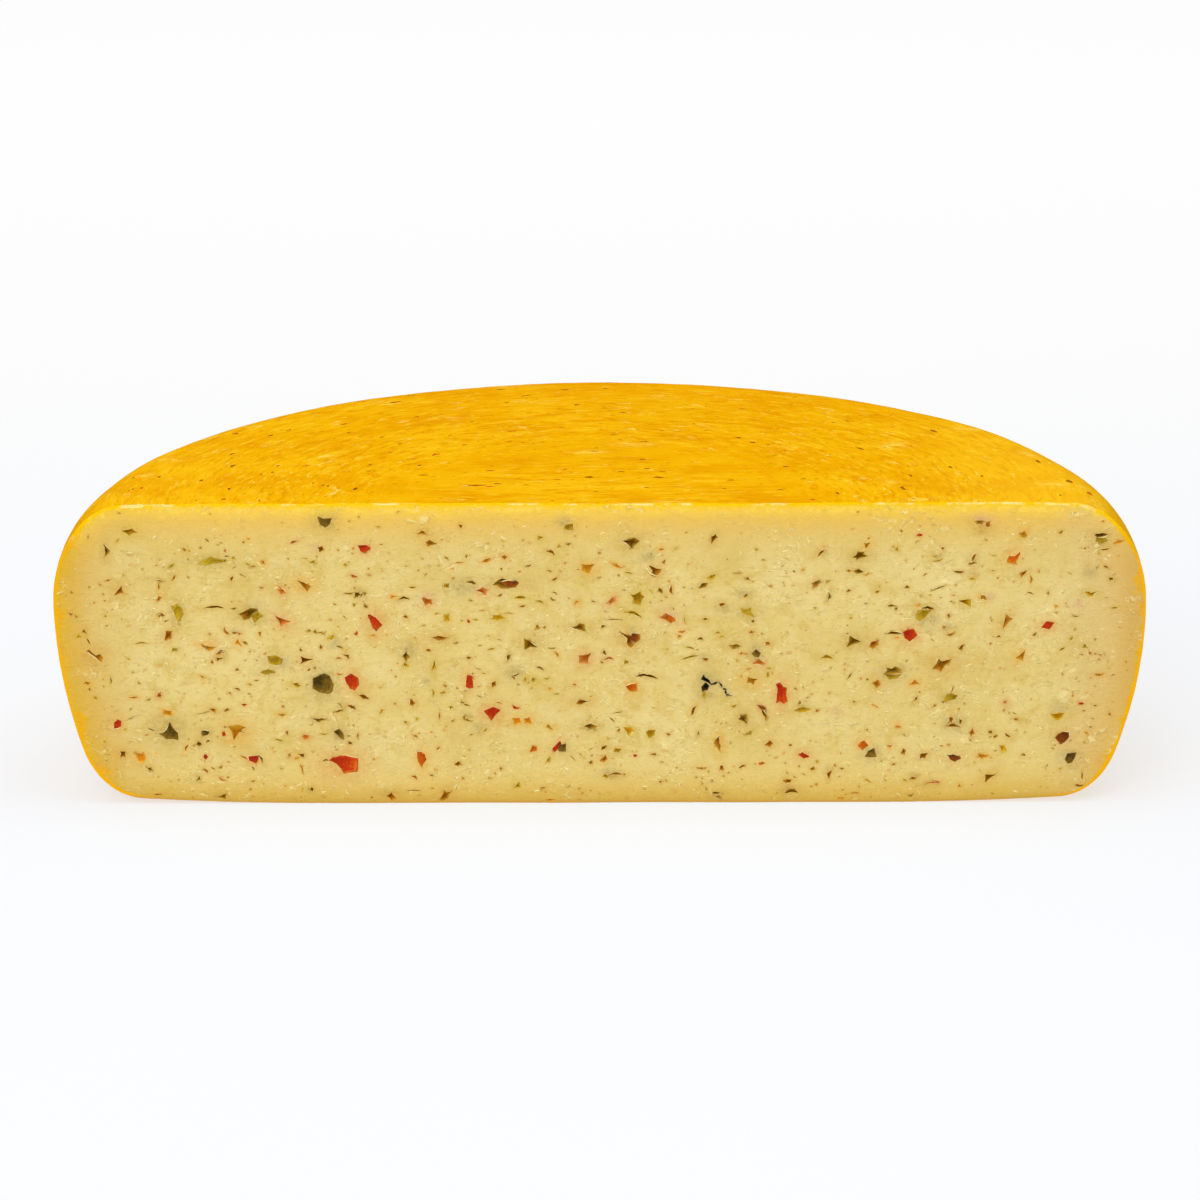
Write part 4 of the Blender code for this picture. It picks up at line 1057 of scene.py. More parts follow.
def face_uv(mesh):
    """Texture places: the cut face in two strips, one over the other, and the hidden skin in a corner."""
    half_width = WHEEL_RADIUS + 2 * MM
    strip = WHEEL_HEIGHT + 2 * MM
    square = 2 * strip
    place, centre, normal = loop_places(mesh)
    right = centre[:, 0] >= 0
    u = np.where(right, place[:, 0], place[:, 0] + half_width) + 1 * MM
    v = np.where(right, place[:, 2], place[:, 2] + strip) + 1 * MM
    hidden = (centre[:, 1] > CUT_Y + 4 * MM) | ((normal[:, 1] > 0.2) & (centre[:, 1] > CUT_Y + 2.5 * MM))
    u = np.where(hidden, square - 8 * MM + 0.02 * (place[:, 0] + WHEEL_RADIUS), u)
    v = np.where(hidden, 2 * MM + 0.05 * place[:, 2] + 0.02 * (place[:, 1] - CUT_Y), v)
    write_uv(mesh, "OFBake", np.column_stack([u, v]) / square)


def rind_uv(mesh):
    """Texture places: the top, the side in two strips and the underside, side by side in a square."""
    place, centre, normal = loop_places(mesh)
    x, y, z = place[:, 0], place[:, 1] - AXIS_Y, place[:, 2]
    top = (normal[:, 2] > 0.55) & (centre[:, 2] > WHEEL_HEIGHT * 0.5)
    under = (normal[:, 2] < -0.55) & (centre[:, 2] < WHEEL_HEIGHT * 0.5)
    side = ~top & ~under
    square = 330 * MM
    angle = np.arctan2(y, x)
    angle = np.where(angle < -1.0, angle + 2 * math.pi, angle)
    right = np.arctan2(centre[:, 1] - AXIS_Y, centre[:, 0]) < math.pi / 2
    side_u = np.where(right, angle, angle - math.pi / 2) * WHEEL_RADIUS + 4 * MM
    side_v = np.where(right, z, z + 90 * MM) + 148 * MM
    u = np.where(side, side_u, x + WHEEL_RADIUS + 3 * MM)
    v = np.where(side, side_v, y + 3 * MM)
    u = np.where(under, 232 * MM + 0.66 * (y + 3 * MM), u)
    v = np.where(under, 145 * MM + 0.66 * (x + WHEEL_RADIUS), v)
    write_uv(mesh, "OFBake", np.column_stack([u, v]) / square)


def write_uv(mesh, name, places):
    layer = mesh.uv_layers.get(name) or mesh.uv_layers.new(name=name)
    layer.data.foreach_set("uv", places.astype(np.float32).ravel())


# Materials


class Graph:
    """A material's node tree, built with short calls, and the colour that is laid on so far."""

    def __init__(self, name):
        self.material = bpy.data.materials.new(name)
        self.material.use_nodes = True
        self.tree = self.material.node_tree
        self.tree.nodes.clear()
        self.shader = self.node("BsdfPrincipled")
        self.node("OutputMaterial", {"Surface": self.shader.outputs[0]})
        place = self.node("TexCoord").outputs["Object"]
        self.mm = self.node("VectorMath", {0: place, "Scale": 1000.0}, operation="SCALE").outputs[0]
        self.colour = None

    def node(self, kind, inputs=None, **settings):
        """Adds a node with its settings, and with inputs set or linked by name or number."""
        node = self.tree.nodes.new("ShaderNode" + kind)
        for name, value in settings.items():
            setattr(node, name, value)
        self.put(node, inputs or {})
        return node

    def put(self, node, inputs):
        for name, value in inputs.items():
            if isinstance(value, bpy.types.NodeSocket):
                self.tree.links.new(value, node.inputs[name])
            else:
                node.inputs[name].default_value = value

    def finished(self, roughness, specular, normal):
        """Sets the shader's sockets, with the colour laid on so far, and returns the material."""
        self.put(self.shader, {"Base Color": self.colour, "Roughness": roughness})
        self.put(self.shader, {"Specular IOR Level": specular, "Normal": normal})
        return self.material

    def math(self, operation, first, second=0.0):
        return self.node("Math", {0: first, 1: second}, operation=operation).outputs[0]

    def product(self, *values):
        result = values[0]
        for value in values[1:]:
            result = self.math("MULTIPLY", result, value)
        return result

    def swing(self, value, reach):
        """Noise made to swing round 0, by half the reach to either side."""
        return self.product(self.math("SUBTRACT", value, 0.5), reach)

    def ramp(self, value, low, high, start=0.0, end=1.0):
        """A smooth step from start to end as the value goes from low to high."""
        inputs = {"Value": value, "From Min": low, "From Max": high, "To Min": start, "To Max": end}
        return self.node("MapRange", inputs, interpolation_type="SMOOTHSTEP").outputs["Result"]

    def stretched(self, place, scale):
        return self.node("VectorMath", {0: place, 1: scale}, operation="MULTIPLY").outputs[0]

    def noise(self, length, detail=2.0, rough=0.5, stretch=None, warp=0.0, where=None):
        """Noise with features of about the given length in mm."""
        place = self.mm if where is None else where
        if stretch:
            place = self.stretched(place, stretch)
        looks = {"Scale": 1.0 / length, "Detail": detail, "Roughness": rough, "Distortion": warp}
        return self.node("TexNoise", {"Vector": place, **looks}).outputs[0]

    def specks(self, length, stretch):
        """Cells of a length in mm: the distance from their middles, and two random values for each."""
        inputs = {"Vector": self.stretched(self.mm, stretch), "Scale": 1.0 / length}
        cells = self.node("TexVoronoi", inputs, feature="F1")
        picked = self.parts(cells.outputs["Color"])
        return cells.outputs["Distance"], picked[0], picked[1]

    def mix(self, amount, first, second):
        return self.node("Mix", {0: amount, 6: first, 7: second}, data_type="RGBA").outputs[2]

    def lay(self, amount, *tint):
        """Lays a colour as seen over what is there."""
        self.colour = self.mix(amount, self.colour, seen(*tint))

    def tint(self, value, low, high, share, *tint):
        """Lays a colour on more and more, up to a share, as the value goes from low to high."""
        self.lay(self.ramp(value, low, high, 0.0, share), *tint)

    def stored(self, name):
        """The colour and the alpha that the mesh carries under a name."""
        node = self.node("Attribute", attribute_name=name, attribute_type="GEOMETRY")
        return node.outputs["Color"], node.outputs["Alpha"]

    def parts(self, colour):
        return self.node("SeparateColor", {0: colour}).outputs

    def axes(self):
        return self.node("SeparateXYZ", {0: self.mm}).outputs

    def curve(self, value, *stops):
        """Colour by value, from stops of a place between 0 and 1 and a colour as seen."""
        node = self.node("ValToRGB", {0: value})
        band = node.color_ramp
        while len(band.elements) < len(stops):
            band.elements.new(0.5)
        for element, (place, *tint) in zip(band.elements, stops):
            element.position = place
            element.color = seen(*tint)
        return node.outputs[0]

    def bump(self, height, distance, strength, below=None):
        """A normal from a height and a distance in metres, over the normal below it."""
        node = self.node("Bump", {"Height": height, "Distance": distance, "Strength": strength})
        if below is not None:
            self.put(node, {"Normal": below})
        return node.outputs[0]


def paste_ground(g):
    """Lays the pale yellow paste, in slow and small clouds. Returns the noise of the two smaller ones."""
    slow = g.noise(24.0, detail=3.0, rough=0.6)
    cloud = g.noise(6.5, detail=3.0, rough=0.6, warp=0.8)
    grain = g.noise(1.7, detail=3.0, rough=0.65, warp=0.8, stretch=(0.8, 1.0, 1.2))
    g.colour = g.curve(slow, (0.3, 223, 194, 109), (0.5, 231, 205, 125), (0.7, 236, 214, 141))
    g.tint(cloud, 0.52, 0.7, 0.58, 234, 211, 142)
    g.tint(cloud, 0.48, 0.32, 0.55, 217, 185, 92)
    g.tint(grain, 0.55, 0.72, 0.5, 237, 214, 144)
    g.tint(grain, 0.45, 0.3, 0.5, 208, 174, 84)
    return cloud, grain


def edge_colours(g, edge, level):
    """The deeper yellow of the paste near the rind, by distance from the face's outline in mm. Along the top
    it is brighter too, as painted light that comes in through the rind, and right at the foot it is darker,
    as painted shade where the face meets the floor.
    """
    share = g.math("DIVIDE", edge, EDGE_REACH / MM)
    side = g.curve(
        share, (0.0, 233, 178, 18), (0.08, 231, 180, 34), (0.15, 226, 178, 58),
        (0.27, 227, 182, 80), (0.45, 228, 190, 103), (0.75, 228, 196, 115),
    )
    # Along the top: deeper yellow, and brighter as painted light coming in through the rind
    top = g.curve(
        share, (0.0, 255, 208, 18), (0.04, 255, 208, 32), (0.08, 253, 207, 70), (0.13, 249, 204, 78),
        (0.2, 240, 196, 86), (0.3, 235, 195, 98), (0.44, 232, 198, 108), (0.8, 230, 202, 120),
    )
    # Along the foot: darker right at the edge, as painted shade where the face meets the floor
    foot = g.curve(
        share, (0.0, 206, 162, 62), (0.08, 219, 180, 80), (0.16, 225, 189, 93),
        (0.3, 232, 201, 114), (0.5, 234, 207, 125), (0.8, 232, 206, 126),
    )
    return g.mix(g.ramp(level, 0.1, 0.03), g.mix(g.ramp(level, 0.8, 0.97), side, top), foot)


def paste_edge(g, edge, level):
    """Lays the colours near the rind, with blotches of it along the side and a cream line under the top,
    which is a painted highlight.
    """
    wobble = g.swing(g.noise(6.0, detail=3.0, rough=0.6), 3.2)
    rough_edge = g.math("ADD", edge, g.product(wobble, g.ramp(edge, 0.0, 3.0)))
    g.colour = g.mix(g.ramp(edge, 19.0, 5.0, 0.0, 0.92), g.colour, edge_colours(g, rough_edge, level))
    x = g.axes()[0]
    g.tint(x, 110.0, 129.0, 0.5, 224, 192, 124)
    g.tint(x, 131.0, 138.0, 0.35, 205, 155, 75)
    g.tint(x, -108.0, -126.0, 0.2, 208, 172, 80)
    reach = g.ramp(g.noise(5.0, detail=3.0, rough=0.65), 0.42, 0.68, 0.5, 3.8)
    side_share = g.product(g.ramp(level, 0.97, 0.85), g.ramp(level, 0.02, 0.1))
    blotch = g.product(g.ramp(g.math("SUBTRACT", edge, reach), 0.5, -0.7), side_share)
    g.lay(g.product(blotch, 0.8), 238, 176, 20)
    # A scalloped cream line just under the top edge: a painted highlight where the edge catches the light
    scallop = g.ramp(g.noise(3.2, detail=3.0, rough=0.6), 0.38, 0.62, -0.6, 2.4)
    cream = g.product(g.ramp(g.math("SUBTRACT", edge, scallop), 0.35, -0.2), g.ramp(edge, 0.5, 1.1))
    g.lay(g.product(cream, g.ramp(level, 0.93, 0.985), 0.8), 255, 216, 84)


def torn_steps(g):
    """Lays small torn steps in patches, with painted highlights on their edges and painted shade at their
    feet. Returns their height.
    """
    swell = g.noise(6.0, detail=2.0, rough=0.5, stretch=(0.75, 1.0, 1.3), warp=0.8)
    saw = g.math("FRACT", g.math("MULTIPLY", swell, 6.0))
    patches = g.ramp(g.noise(12.0, detail=2.0, rough=0.6), 0.46, 0.62, 0.05, 0.8)
    broken = g.ramp(g.noise(2.4, detail=3.0, stretch=(0.8, 1.0, 1.2)), 0.48, 0.62)
    shown = g.product(patches, broken)
    # Painted shade at the steps' feet
    g.lay(g.product(g.ramp(saw, 0.72, 0.96), shown, 0.5), 200, 164, 76)
    # Painted highlights on the steps' edges
    g.lay(g.product(g.ramp(saw, 0.36, 0.04), shown, 0.85), 249, 231, 160)
    return g.product(saw, shown)


def paste_dust(g, edge, level):
    """Lays dust and faint traces of herbs and pepper, in clusters that thin out towards the rind."""
    clusters = g.math("MAXIMUM", g.ramp(g.noise(5.0, detail=2.0), 0.42, 0.6), g.ramp(g.axes()[2], 5.0, 1.5))
    calm = g.math("MAXIMUM", g.ramp(edge, 2.0, 9.0, 0.3, 1.0), g.ramp(level, 0.1, 0.03))
    for length, cover in ((3.1, 0.38), (0.95, 0.62)):
        distance, first, second = g.specks(length, (0.75, 1.0, 1.2))
        uneven = g.math("ADD", distance, g.product(g.noise(0.4 * length, detail=2.0), 0.4))
        speck = g.product(g.ramp(uneven, 0.46, 0.28), clusters, g.ramp(first, 0.5, 0.62), calm, cover)
        g.colour = g.mix(speck, g.colour, g.mix(second, seen(176, 132, 44), seen(218, 134, 50)))


def paste_marks(g):
    """Lays the stains round marks and the paint inside openings, as the mesh carries them."""
    halo, strength = g.stored("halo")
    ragged = g.ramp(g.noise(1.1, detail=3.0, rough=0.65), 0.3, 0.7, 0.45, 1.25)
    g.colour = g.mix(g.product(strength, ragged), g.colour, halo)
    pit, cover = g.stored("pit")
    mottle = g.noise(1.0, detail=2.0)
    bright = g.ramp(g.parts(pit)[0], 0.05, 0.15)
    inner = g.mix(g.product(g.ramp(mottle, 0.51, 0.64, 0.0, 0.45), bright), pit, seen(204, 120, 18))
    inner = g.mix(g.product(g.ramp(mottle, 0.46, 0.34, 0.0, 0.4), bright), inner, seen(160, 130, 12))
    g.colour = g.mix(cover, g.colour, inner)


def paste_material():
    g = Graph("cheese paste")
    place = g.parts(g.stored("place")[0])
    edge, level = g.math("MULTIPLY", place[0], EDGE_REACH / MM), place[2]
    cloud, grain = paste_ground(g)
    paste_edge(g, edge, level)
    steps = torn_steps(g)
    paste_dust(g, edge, level)
    paste_marks(g)
    pores = g.bump(g.noise(0.5, detail=4.0, rough=0.7), 0.0002, 0.6)
    relief = g.bump(steps, 0.00022, 0.8, g.bump(grain, 0.00045, 0.7, pores))
    return g.finished(g.ramp(cloud, 0.3, 0.75, 0.52, 0.36), 0.05, relief)


def along_rim(g):
    """Places in mm along circles round the wheel's axis, outwards and up, and how near the axis is."""
    x, y, z = g.axes()
    y = g.math("SUBTRACT", y, AXIS_Y / MM)
    arc = g.math("MULTIPLY", g.math("ARCTAN2", y, x), ARC_RADIUS_MM)
    reach = g.math("SQRT", g.math("ADD", g.product(x, x), g.product(y, y)))
    return g.node("CombineXYZ", {0: arc, 1: reach, 2: z}).outputs[0], g.ramp(reach, 70.0, 35.0)


def strokes(g, around, length, stretch, rough, warp):
    """Brushed strokes that run along the rim, and straight across in the middle of the top."""
    place, middle = around
    curved = g.noise(length, detail=3.0, rough=rough, stretch=stretch, warp=warp, where=place)
    straight = g.noise(length, detail=3.0, rough=rough, stretch=stretch, warp=warp)
    return g.math("ADD", g.product(straight, middle), g.product(curved, g.math("SUBTRACT", 1.0, middle)))


def rind_strokes(g):
    """Lays broad soft strokes, fine ones and rare pale ones, which are painted highlights. Returns the noise
    of the first two.
    """
    around = along_rim(g)
    broad = strokes(g, around, 4.0, (0.22, 1.0, 0.8), 0.6, 0.4)
    g.tint(broad, 0.54, 0.7, 0.7, 247, 195, 28)
    g.tint(broad, 0.46, 0.3, 0.7, 226, 148, 2)
    fine = strokes(g, around, 1.5, (0.24, 1.0, 0.9), 0.65, 0.3)
    g.tint(fine, 0.55, 0.68, 0.8, 247, 199, 40)
    g.tint(fine, 0.46, 0.34, 0.66, 219, 142, 3)
    # Rare pale strokes: painted highlights on the coat
    rare = g.ramp(g.noise(9.0, detail=2.0), 0.5, 0.62)
    pale = strokes(g, around, 2.2, (0.3, 1.0, 0.9), 0.7, 0.6)
    g.lay(g.product(g.ramp(pale, 0.58, 0.66, 0.0, 0.75), rare), 250, 216, 96)
    return broad, fine


def rind_highlights_and_specks(g):
    """Lays the painted highlights of the top, as paler places, and a dust of small specks."""
    # Painted highlights, as paler places
    highlight_spots, strength = g.stored("highlight_spots")
    ragged = g.ramp(g.noise(2.0, detail=4.0, rough=0.7, stretch=(0.5, 1.0, 1.0)), 0.42, 0.62, 0.0, 1.2)
    g.colour = g.mix(g.product(strength, ragged), g.colour, highlight_spots)
    distance, first, second = g.specks(2.1, (0.6, 1.0, 1.0))
    speck = g.product(g.ramp(distance, 0.2, 0.1), g.ramp(first, 0.62, 0.7), 0.6)
    g.colour = g.mix(speck, g.colour, g.mix(second, seen(196, 122, 10), seen(150, 104, 14)))


def rind_cut(g, y, z):
    """Lays the rind's cut edge: lemon yellow along the top with patches of paler painted highlight, orange
    down the side, and dull at the foot, which is painted shade where it meets the floor.
    """
    ragged = g.math("ADD", y, g.product(g.noise(1.6, detail=3.0, rough=0.6), 1.6))
    cut = g.ramp(ragged, CUT_Y / MM + 1.7, CUT_Y / MM + 1.2)
    # Paler patches along the top: painted highlights where the edge catches the light
    edge_glint = g.ramp(g.noise(7.0, detail=3.0, rough=0.65), 0.5, 0.64)
    top = g.mix(edge_glint, seen(255, 204, 12), seen(255, 232, 140))
    tint = g.mix(g.ramp(z, 68.0, 78.0), seen(244, 178, 14), top)
    # Dull at the foot: painted shade where the rind meets the floor
    tint = g.mix(g.ramp(z, 3.0, 1.0), tint, seen(206, 160, 72))
    g.colour = g.mix(cut, g.colour, tint)


def rind_material():
    g = Graph("coated rind")
    slow = g.noise(20.0, detail=3.0, rough=0.6, stretch=(0.7, 1.0, 1.0))
    g.colour = g.curve(slow, (0.32, 232, 160, 2), (0.5, 240, 175, 4), (0.7, 244, 186, 14))
    broad, fine = rind_strokes(g)
    rind_highlights_and_specks(g)
    x, y, z = g.axes()
    g.tint(x, 70.0, 125.0, 0.42, 252, 198, 38)
    g.tint(x, -70.0, -125.0, 0.2, 250, 194, 26)
    g.tint(y, 5.0, 60.0, 0.35, 236, 160, 6)
    rind_cut(g, y, z)
    relief = g.bump(broad, 0.0007, 0.6, g.bump(fine, 0.00022, 0.6))
    return g.finished(g.ramp(broad, 0.3, 0.7, 0.5, 0.36), 0.0, relief)


def flake_material(name, dark, usual, light, roughness, specular=0.06):
    """Moist pepper or herb skin, darker towards its upper side as painted shade that the stored tone carries,
    and mottled.
    """
    g = Graph(name)
    tone = g.parts(g.stored("tone")[0])[0]
    mottle = g.noise(0.7, detail=3.0, rough=0.6)
    share = g.math("ADD", tone, g.swing(mottle, 0.7))
    g.colour = g.curve(share, (0.08, *dark), (0.5, *usual), (0.95, *light))
    gloss = g.ramp(mottle, 0.3, 0.7, roughness + 0.1, roughness - 0.08)
    return g.finished(gloss, specular, g.bump(g.noise(0.35, detail=3.0), 0.00012, 0.6))


def curl_material():
    g = Graph("torn paste")
    # Paler than the paste: partly the torn paste's own colour, partly a painted highlight
    g.colour = g.mix(g.noise(1.4), seen(241, 220, 140), seen(250, 233, 164))
    gloss = g.ramp(g.noise(0.8), 0.3, 0.7, 0.45, 0.33)
    return g.finished(gloss, 0.35, g.bump(g.noise(0.3, detail=3.0), 0.00008, 0.5))


# Pieces


def finish_piece(obj, material):
    obj.data.materials.clear()
    obj.data.materials.append(material)
    obj.data.shade_smooth()
    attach(obj, "root")


def build_bodies(marks, rng):
    """The paste and the rind round it, cut by the same knife from the same wheel."""
    rind = new_object("rind", wheel_mesh("rind", RIND_CELLS, RIND_ROWS))
    displace_wheel(rind.data, None, True)
    paste = new_object("paste", wheel_mesh("paste", CORE_CELLS, CORE_ROWS))
    displace_wheel(paste.data, rind_depth, False)
    for obj in (rind, paste):
        write_points(obj.data, read_points(obj.data) + (0.0, AXIS_Y, 0.0))
    knife = build_knife()
    apply_boolean(rind, "DIFFERENCE", paste)
    apply_boolean(rind, "DIFFERENCE", knife)
    apply_boolean(paste, "DIFFERENCE", knife)
    remove(knife)
    for group in clear_groups(marks):
        pits = new_object("pits", joined_mesh("pits", [pit_solid(mark, rng) for mark in group]))
        apply_boolean(paste, "DIFFERENCE", pits)
        remove(pits)
    return paste, rind


def finish_bodies(paste, rind):
    face_uv(paste.data)
    paint_rind(rind.data)
    rind_uv(rind.data)
    finish_piece(paste, paste_material())
    finish_piece(rind, rind_material())
    for obj in (paste, rind):
        obj.data.set_sharp_from_angle(angle=math.radians(50))
    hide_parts("cheese")


def flake_solid(mark, rng):
    """A low pad with an uneven top, bevelled above and rooted below the face."""
    proud = rng.uniform(-0.06, 0.08) * MM
    levels = ((-proud - 0.04 * MM, 0.7), (-proud * 0.6, 0.9), (0.1 * MM, 1.0), (FLAKE_ROOT, 0.8))
    return ring_solid(mark, levels, rng, uneven=0.05 * MM)


def build_flakes(kind, marks, rng):
    """All the flakes of one kind, each lighter towards its foot and darker towards its top as painted shade,
    and lighter towards its rim and one of its sides.
    """
    chosen = [mark for mark in marks if mark.kind == kind]
    solids = [flake_solid(mark, rng) for mark in chosen]
    name = kind.replace(" ", "_") + "s"
    mesh = joined_mesh(name, solids)
    tones = []
    for mark, (points, _) in zip(chosen, solids):
        own = rng.uniform(0.2, 0.42)
        aside = rng.uniform(-0.6, 0.6)
        for index, point in enumerate(points):
            down = (mark.height - point[2]) / mark.tall
            right = (point[0] - mark.across) / mark.width
            outer = 0.2 * (index // len(mark.outline))
            # 0.4 * down makes the upper part darker: painted shade; the rest is the flake's own tone
            tone = own + 0.4 * down + aside * right + outer + rng.uniform(-0.12, 0.12)
            tones.append((tone, 0.0, 0.0, 1.0))
    store(mesh, "tone", np.array(tones))
    finish_piece(new_object(name, mesh), flake_material(*FLAKES[kind]))


def ridge_solid(spine, wide, rise):
    """A thin ridge of torn paste along a line of places on the cut face, fullest in its middle."""
    points = []
    steps = len(spine) - 1
    for step, (x, z) in enumerate(spine):
        before = spine[max(step - 1, 0)]
        after = spine[min(step + 1, steps)]
        run = Vector((after[0] - before[0], after[1] - before[1])).normalized()
        full = math.sin(math.pi * step / steps)
        half = wide * (0.15 + 0.85 * full) / 2
        base = CUT_Y + face_relief(x, z)
        for aside, lift in ((-1.0, -0.06 * MM), (0.3, rise * full + 0.01 * MM), (1.0, -0.06 * MM)):
            points.append((x - run.y * half * aside, base - lift, z + run.x * half * aside))
    return points, tube_faces(len(spine), 3)


def inside_face(spine, profile):
    """Whether every place of a line lies at least a little way inside the cut face."""
    return all(
        RIDGE_MARGIN < height < WHEEL_HEIGHT - RIDGE_MARGIN
        and abs(across) < edge_half_width(height, profile) - RIDGE_MARGIN
        for across, height in spine
    )


def curl(rng, profile, clear):
    """A short curved ridge somewhere on the face, clear of marks and more often where the paste is torn."""
    while True:
        height = rng.uniform(3 * MM, WHEEL_HEIGHT - 3 * MM)
        reach = edge_half_width(height, profile) - 4 * MM
        across = rng.uniform(-reach, reach)
        shown = (0.35 + 1.2 * torn(across, height)) * calm_share(across, height, profile)
        if rng.random() < shown and clear(across, height):
            break
    long = rng.uniform(0.4, 1.0) ** 2 * (7.0 if rng.random() < LONG_CURL_SHARE else 2.0) * MM
    bend = rng.uniform(-2.0, 2.0)
    angle = rng.gauss(0.0, 0.6) - bend / 2
    spine = []
    for _ in range(CURL_STEPS + 1):
        spine.append((across, height))
        across += math.cos(angle) * long / CURL_STEPS
        height += math.sin(angle) * long / CURL_STEPS
        angle += bend / CURL_STEPS
    if not inside_face(spine, profile):
        return None
    return ridge_solid(spine, rng.uniform(0.3, 0.72) * MM, rng.uniform(0.07, 0.15) * MM)


def lip(mark, profile, rng):
    """A ridge along part of an opening's rim."""
    count = len(mark.outline)
    first = rng.randrange(count)
    length = max(3, round(count * rng.uniform(0.3, 0.5)))
    spine = on_face(mark, [mark.outline[(first + step) % count] * 1.06 for step in range(length)])
    if not inside_face(spine, profile):
        return None
    wide = min(0.34 * MM, 0.18 * size_of(mark)) * rng.uniform(0.7, 1.3)
    return ridge_solid(spine, wide, rng.uniform(0.04, 0.1) * MM)


def build_ridges(marks, profile, rng):
    """Curls all over the face, and lips along the rims of some larger marks."""
    places = KDTree(len(marks))
    for index, mark in enumerate(marks):
        places.insert((mark.across, 0.0, mark.height), index)
    places.balance()

    def clear(across, height):
        for _, index, away in places.find_range((across, 0.0, height), 3.5 * MM):
            if away <= max(marks[index].width, marks[index].tall) * 0.55 + 0.5 * MM:
                return False
        return True

    ridges = [curl(rng, profile, clear) for _ in range(CURL_COUNT)]
    for mark in marks:
        if size_of(mark) > (1.5 if is_flake(mark) else 0.7) * MM and rng.random() < LIP_SHARE:
            ridges.append(lip(mark, profile, rng))
    mesh = joined_mesh("torn_curls", [ridge for ridge in ridges if ridge])
    finish_piece(new_object("torn_curls", mesh), curl_material())


def fleck_solid(spot, normal, run, long, wide, rng):
    """A flat lens that follows the rind, sunk into it and barely proud."""
    side = normal.cross(run).normalized()
    outline = lens_outline(rng.uniform(-0.4, 0.4), rng)
    points = []
    for lift, scale in ((0.02 * MM, 0.8), (0.0, 1.0), (-0.25 * MM, 0.9)):
        for point in outline:
            aside = run * point.x * long * scale + side * point.y * wide * scale
            points.append(tuple(spot + aside + normal * lift))
    return points, tube_faces(3, len(outline))


def fleck_places(axis, rng):
    """Where to look for the rind: starts, directions and sizes of the placed and the scattered flecks."""
    above = Vector((0.0, 0.0, WHEEL_HEIGHT + 0.05))
    down = Vector((0.0, 0.0, -1.0))
    wanted = []
    for x, y, long, wide in TOP_FLECKS:
        wanted.append((above + Vector((x * MM, y * MM, 0.0)), down, long * MM, wide * MM))
    for _ in range(RANDOM_FLECKS):
        angle = rng.uniform(0.02, math.pi - 0.02)
        out = Vector((math.cos(angle), math.sin(angle), 0.0))
        size = 0.5 + 1.6 * rng.random() ** 2
        long, wide = size * rng.uniform(1.0, 1.7) * MM, size * rng.uniform(0.4, 0.8) * MM
        if rng.random() < 0.65:
            start = axis + above + out * WHEEL_RADIUS * math.sqrt(rng.uniform(0.0, 0.95))
            wanted.append((start, down, long, wide))
        else:
            start = axis + out * WHEEL_RADIUS * 1.3 + Vector((0.0, 0.0, rng.uniform(8, 70) * MM))
            wanted.append((start, -out, long, wide))
    return wanted


def build_flecks(rind, rng):
    """Flakes that show through the rind, which run across the middle of the top and else along the rim."""
    tree = BVHTree.FromObject(rind, bpy.context.evaluated_depsgraph_get())
    axis = Vector((0.0, AXIS_Y, 0.0))
    solids = []
    tones = []
    for start, way, long, wide in fleck_places(axis, rng):
        spot, normal, _, _ = tree.ray_cast(start, way)
        if spot is None or spot.y < CUT_Y + 2 * MM:
            continue
        out = (spot - axis) * Vector((1.0, 1.0, 0.0))
        run = Vector((1.0, 0.0, 0.0)) if out.length < 60 * MM else Vector((-out.y, out.x, 0.0))
        run = (run - normal * run.dot(normal)).normalized()
        solids.append(fleck_solid(spot, normal, run, long, wide, rng))
        own = rng.uniform(0.1, 0.9)
        tones += [(own + rng.uniform(-0.1, 0.1), 0.0, 0.0, 1.0) for _ in solids[-1][0]]
    mesh = joined_mesh("rind_flecks", solids)
    store(mesh, "tone", np.array(tones))
    finish_piece(new_object("rind_flecks", mesh), flake_material(*FLECK_SKIN, 0.0))


def build_cheese():
    rng = random.Random(RANDOM_SEED)
    profile = edge_profile(120)
    marks = collect_marks(profile, rng)
    paste, rind = build_bodies(marks, rng)
    paint_paste(paste.data, marks, profile, rng)
    finish_bodies(paste, rind)
    for kind in FLAKES:
        build_flakes(kind, marks, rng)
    build_ridges(marks, profile, rng)
    build_flecks(rind, rng)


# Stage, light and camera


def build_stage():
    sheet = bmesh.new()
    bmesh.ops.create_grid(sheet, x_segments=8, y_segments=8, size=6.0)
    floor = new_object("floor", bpy.data.meshes.new("floor"))
    sheet.to_mesh(floor.data)
    sheet.free()
    floor.location.z = -0.1 * MM
    g = Graph("white floor")
    y = g.axes()[1]
    near = g.mix(g.noise(400.0), (0.285, 0.3, 0.33, 1.0), (0.305, 0.32, 0.35, 1.0))
    g.colour = g.mix(g.ramp(y, 100.0, 400.0), near, (0.31, 0.31, 0.31, 1.0))
    g.put(g.shader, {"Base Color": g.colour, "Roughness": 0.9, "Specular IOR Level": 0.0})
    g.put(g.shader, {"Emission Color": WHITE, "Emission Strength": g.ramp(y, -100.0, 900.0, 0.635, 0.75)})
    floor.data.materials.append(g.material)


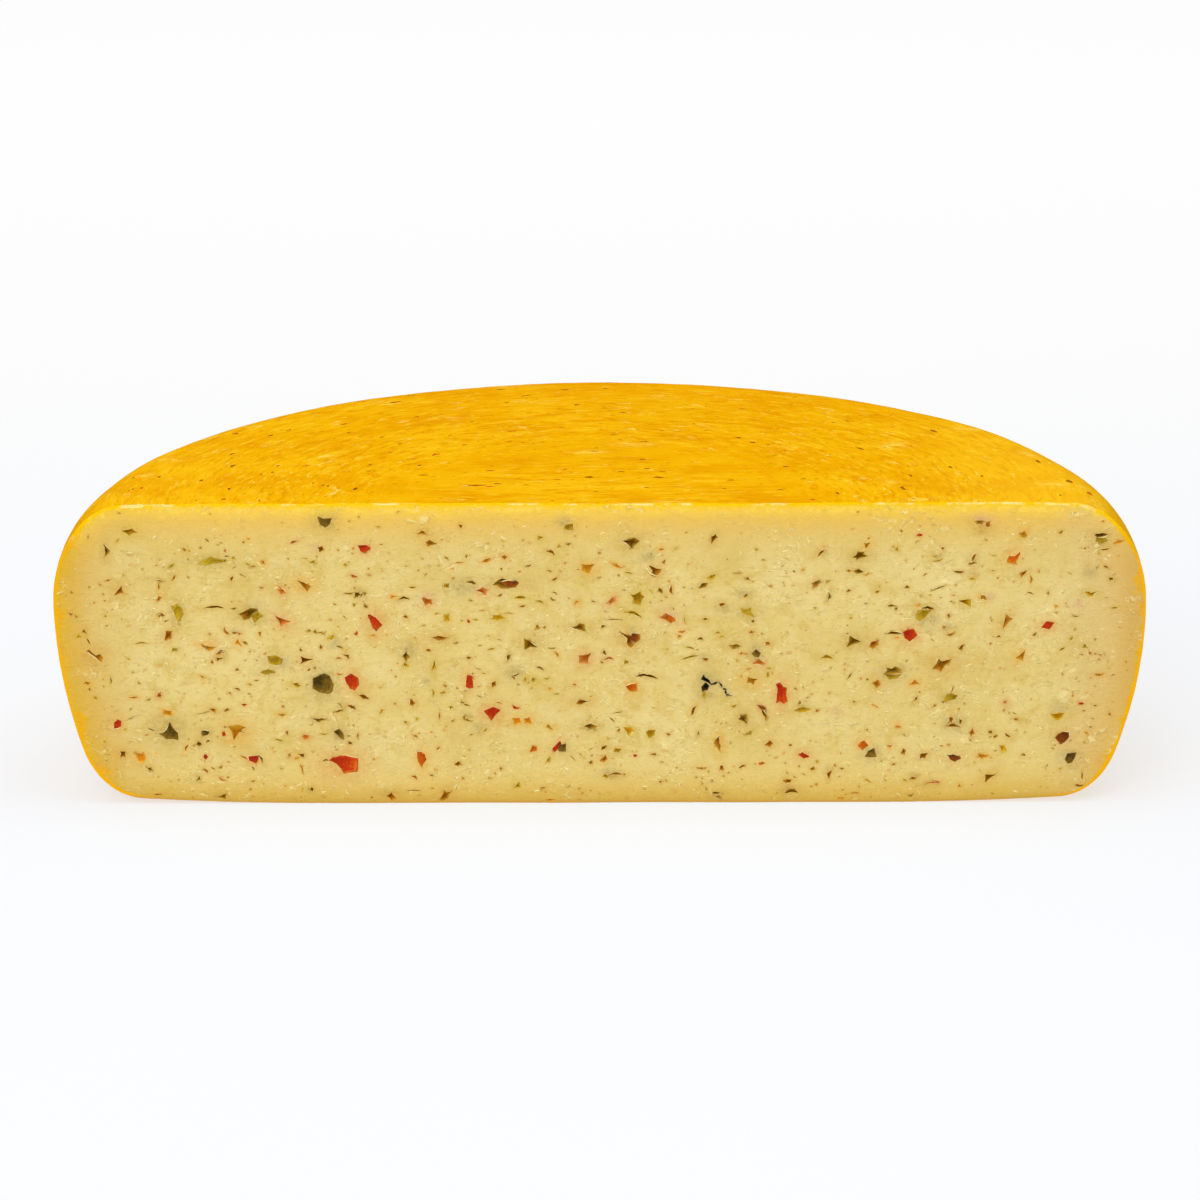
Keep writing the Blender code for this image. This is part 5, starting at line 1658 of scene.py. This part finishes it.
def area_light(name, place, target, size, power):
    light = bpy.data.lights.new(name, "AREA")
    light.shape = "RECTANGLE"
    light.size, light.size_y = size
    light.energy = power
    obj = bpy.data.objects.new(name, light)
    bpy.context.scene.collection.objects.link(obj)
    obj.location = place
    obj.rotation_euler = (Vector(target) - Vector(place)).to_track_quat("-Z", "Y").to_euler()


def build_light():
    """A soft room, dim near the horizon and bright overhead, with a wide lamp above and one in front."""
    world = bpy.data.worlds.new("soft room")
    bpy.context.scene.world = world
    world.use_nodes = True
    tree = world.node_tree
    background = tree.nodes["Background"]
    coordinates = tree.nodes.new("ShaderNodeTexCoord")
    parts = tree.nodes.new("ShaderNodeSeparateXYZ")
    rise = tree.nodes.new("ShaderNodeMapRange")
    tree.links.new(coordinates.outputs["Generated"], parts.inputs[0])
    tree.links.new(parts.outputs["Z"], rise.inputs["Value"])
    for name, value in ROOM.items():
        rise.inputs[name].default_value = value
    tree.links.new(rise.outputs["Result"], background.inputs["Strength"])
    background.inputs["Color"].default_value = WHITE
    area_light("overhead", (0.0, -0.2, 1.3), (0.0, 0.0, 0.04), (1.5, 1.1), OVERHEAD_POWER)
    area_light("front fill", (-0.45, -1.5, 0.95), (0.0, 0.0, 0.04), (1.0, 0.8), FRONT_POWER)


def build_camera():
    """Looks down at the cut face from slightly right of its middle, a little low in the picture."""
    data = bpy.data.cameras.new("camera")
    data.lens = CAMERA_LENS
    data.sensor_width = SENSOR_MM
    data.shift_x = -CAMERA_ASIDE / CAMERA_DISTANCE * CAMERA_LENS / SENSOR_MM
    camera = bpy.data.objects.new("camera", data)
    bpy.context.scene.collection.objects.link(camera)
    look = Vector((CAMERA_ASIDE, CUT_Y, WHEEL_HEIGHT / 2))
    back = Vector((0.0, -math.cos(CAMERA_PITCH), math.sin(CAMERA_PITCH)))
    camera.location = look + back * CAMERA_DISTANCE
    lift = math.atan(LOOK_DROP_PX / FRAME_PX * SENSOR_MM / CAMERA_LENS)
    camera.rotation_euler = (math.pi / 2 - CAMERA_PITCH + lift, 0.0, 0.0)
    camera.rotation_euler.rotate_axis("Z", -CAMERA_ROLL)
    bpy.context.scene.camera = camera


build_cheese()
build_stage()
build_light()
build_camera()
bpy.context.scene.view_settings.view_transform = "Standard"
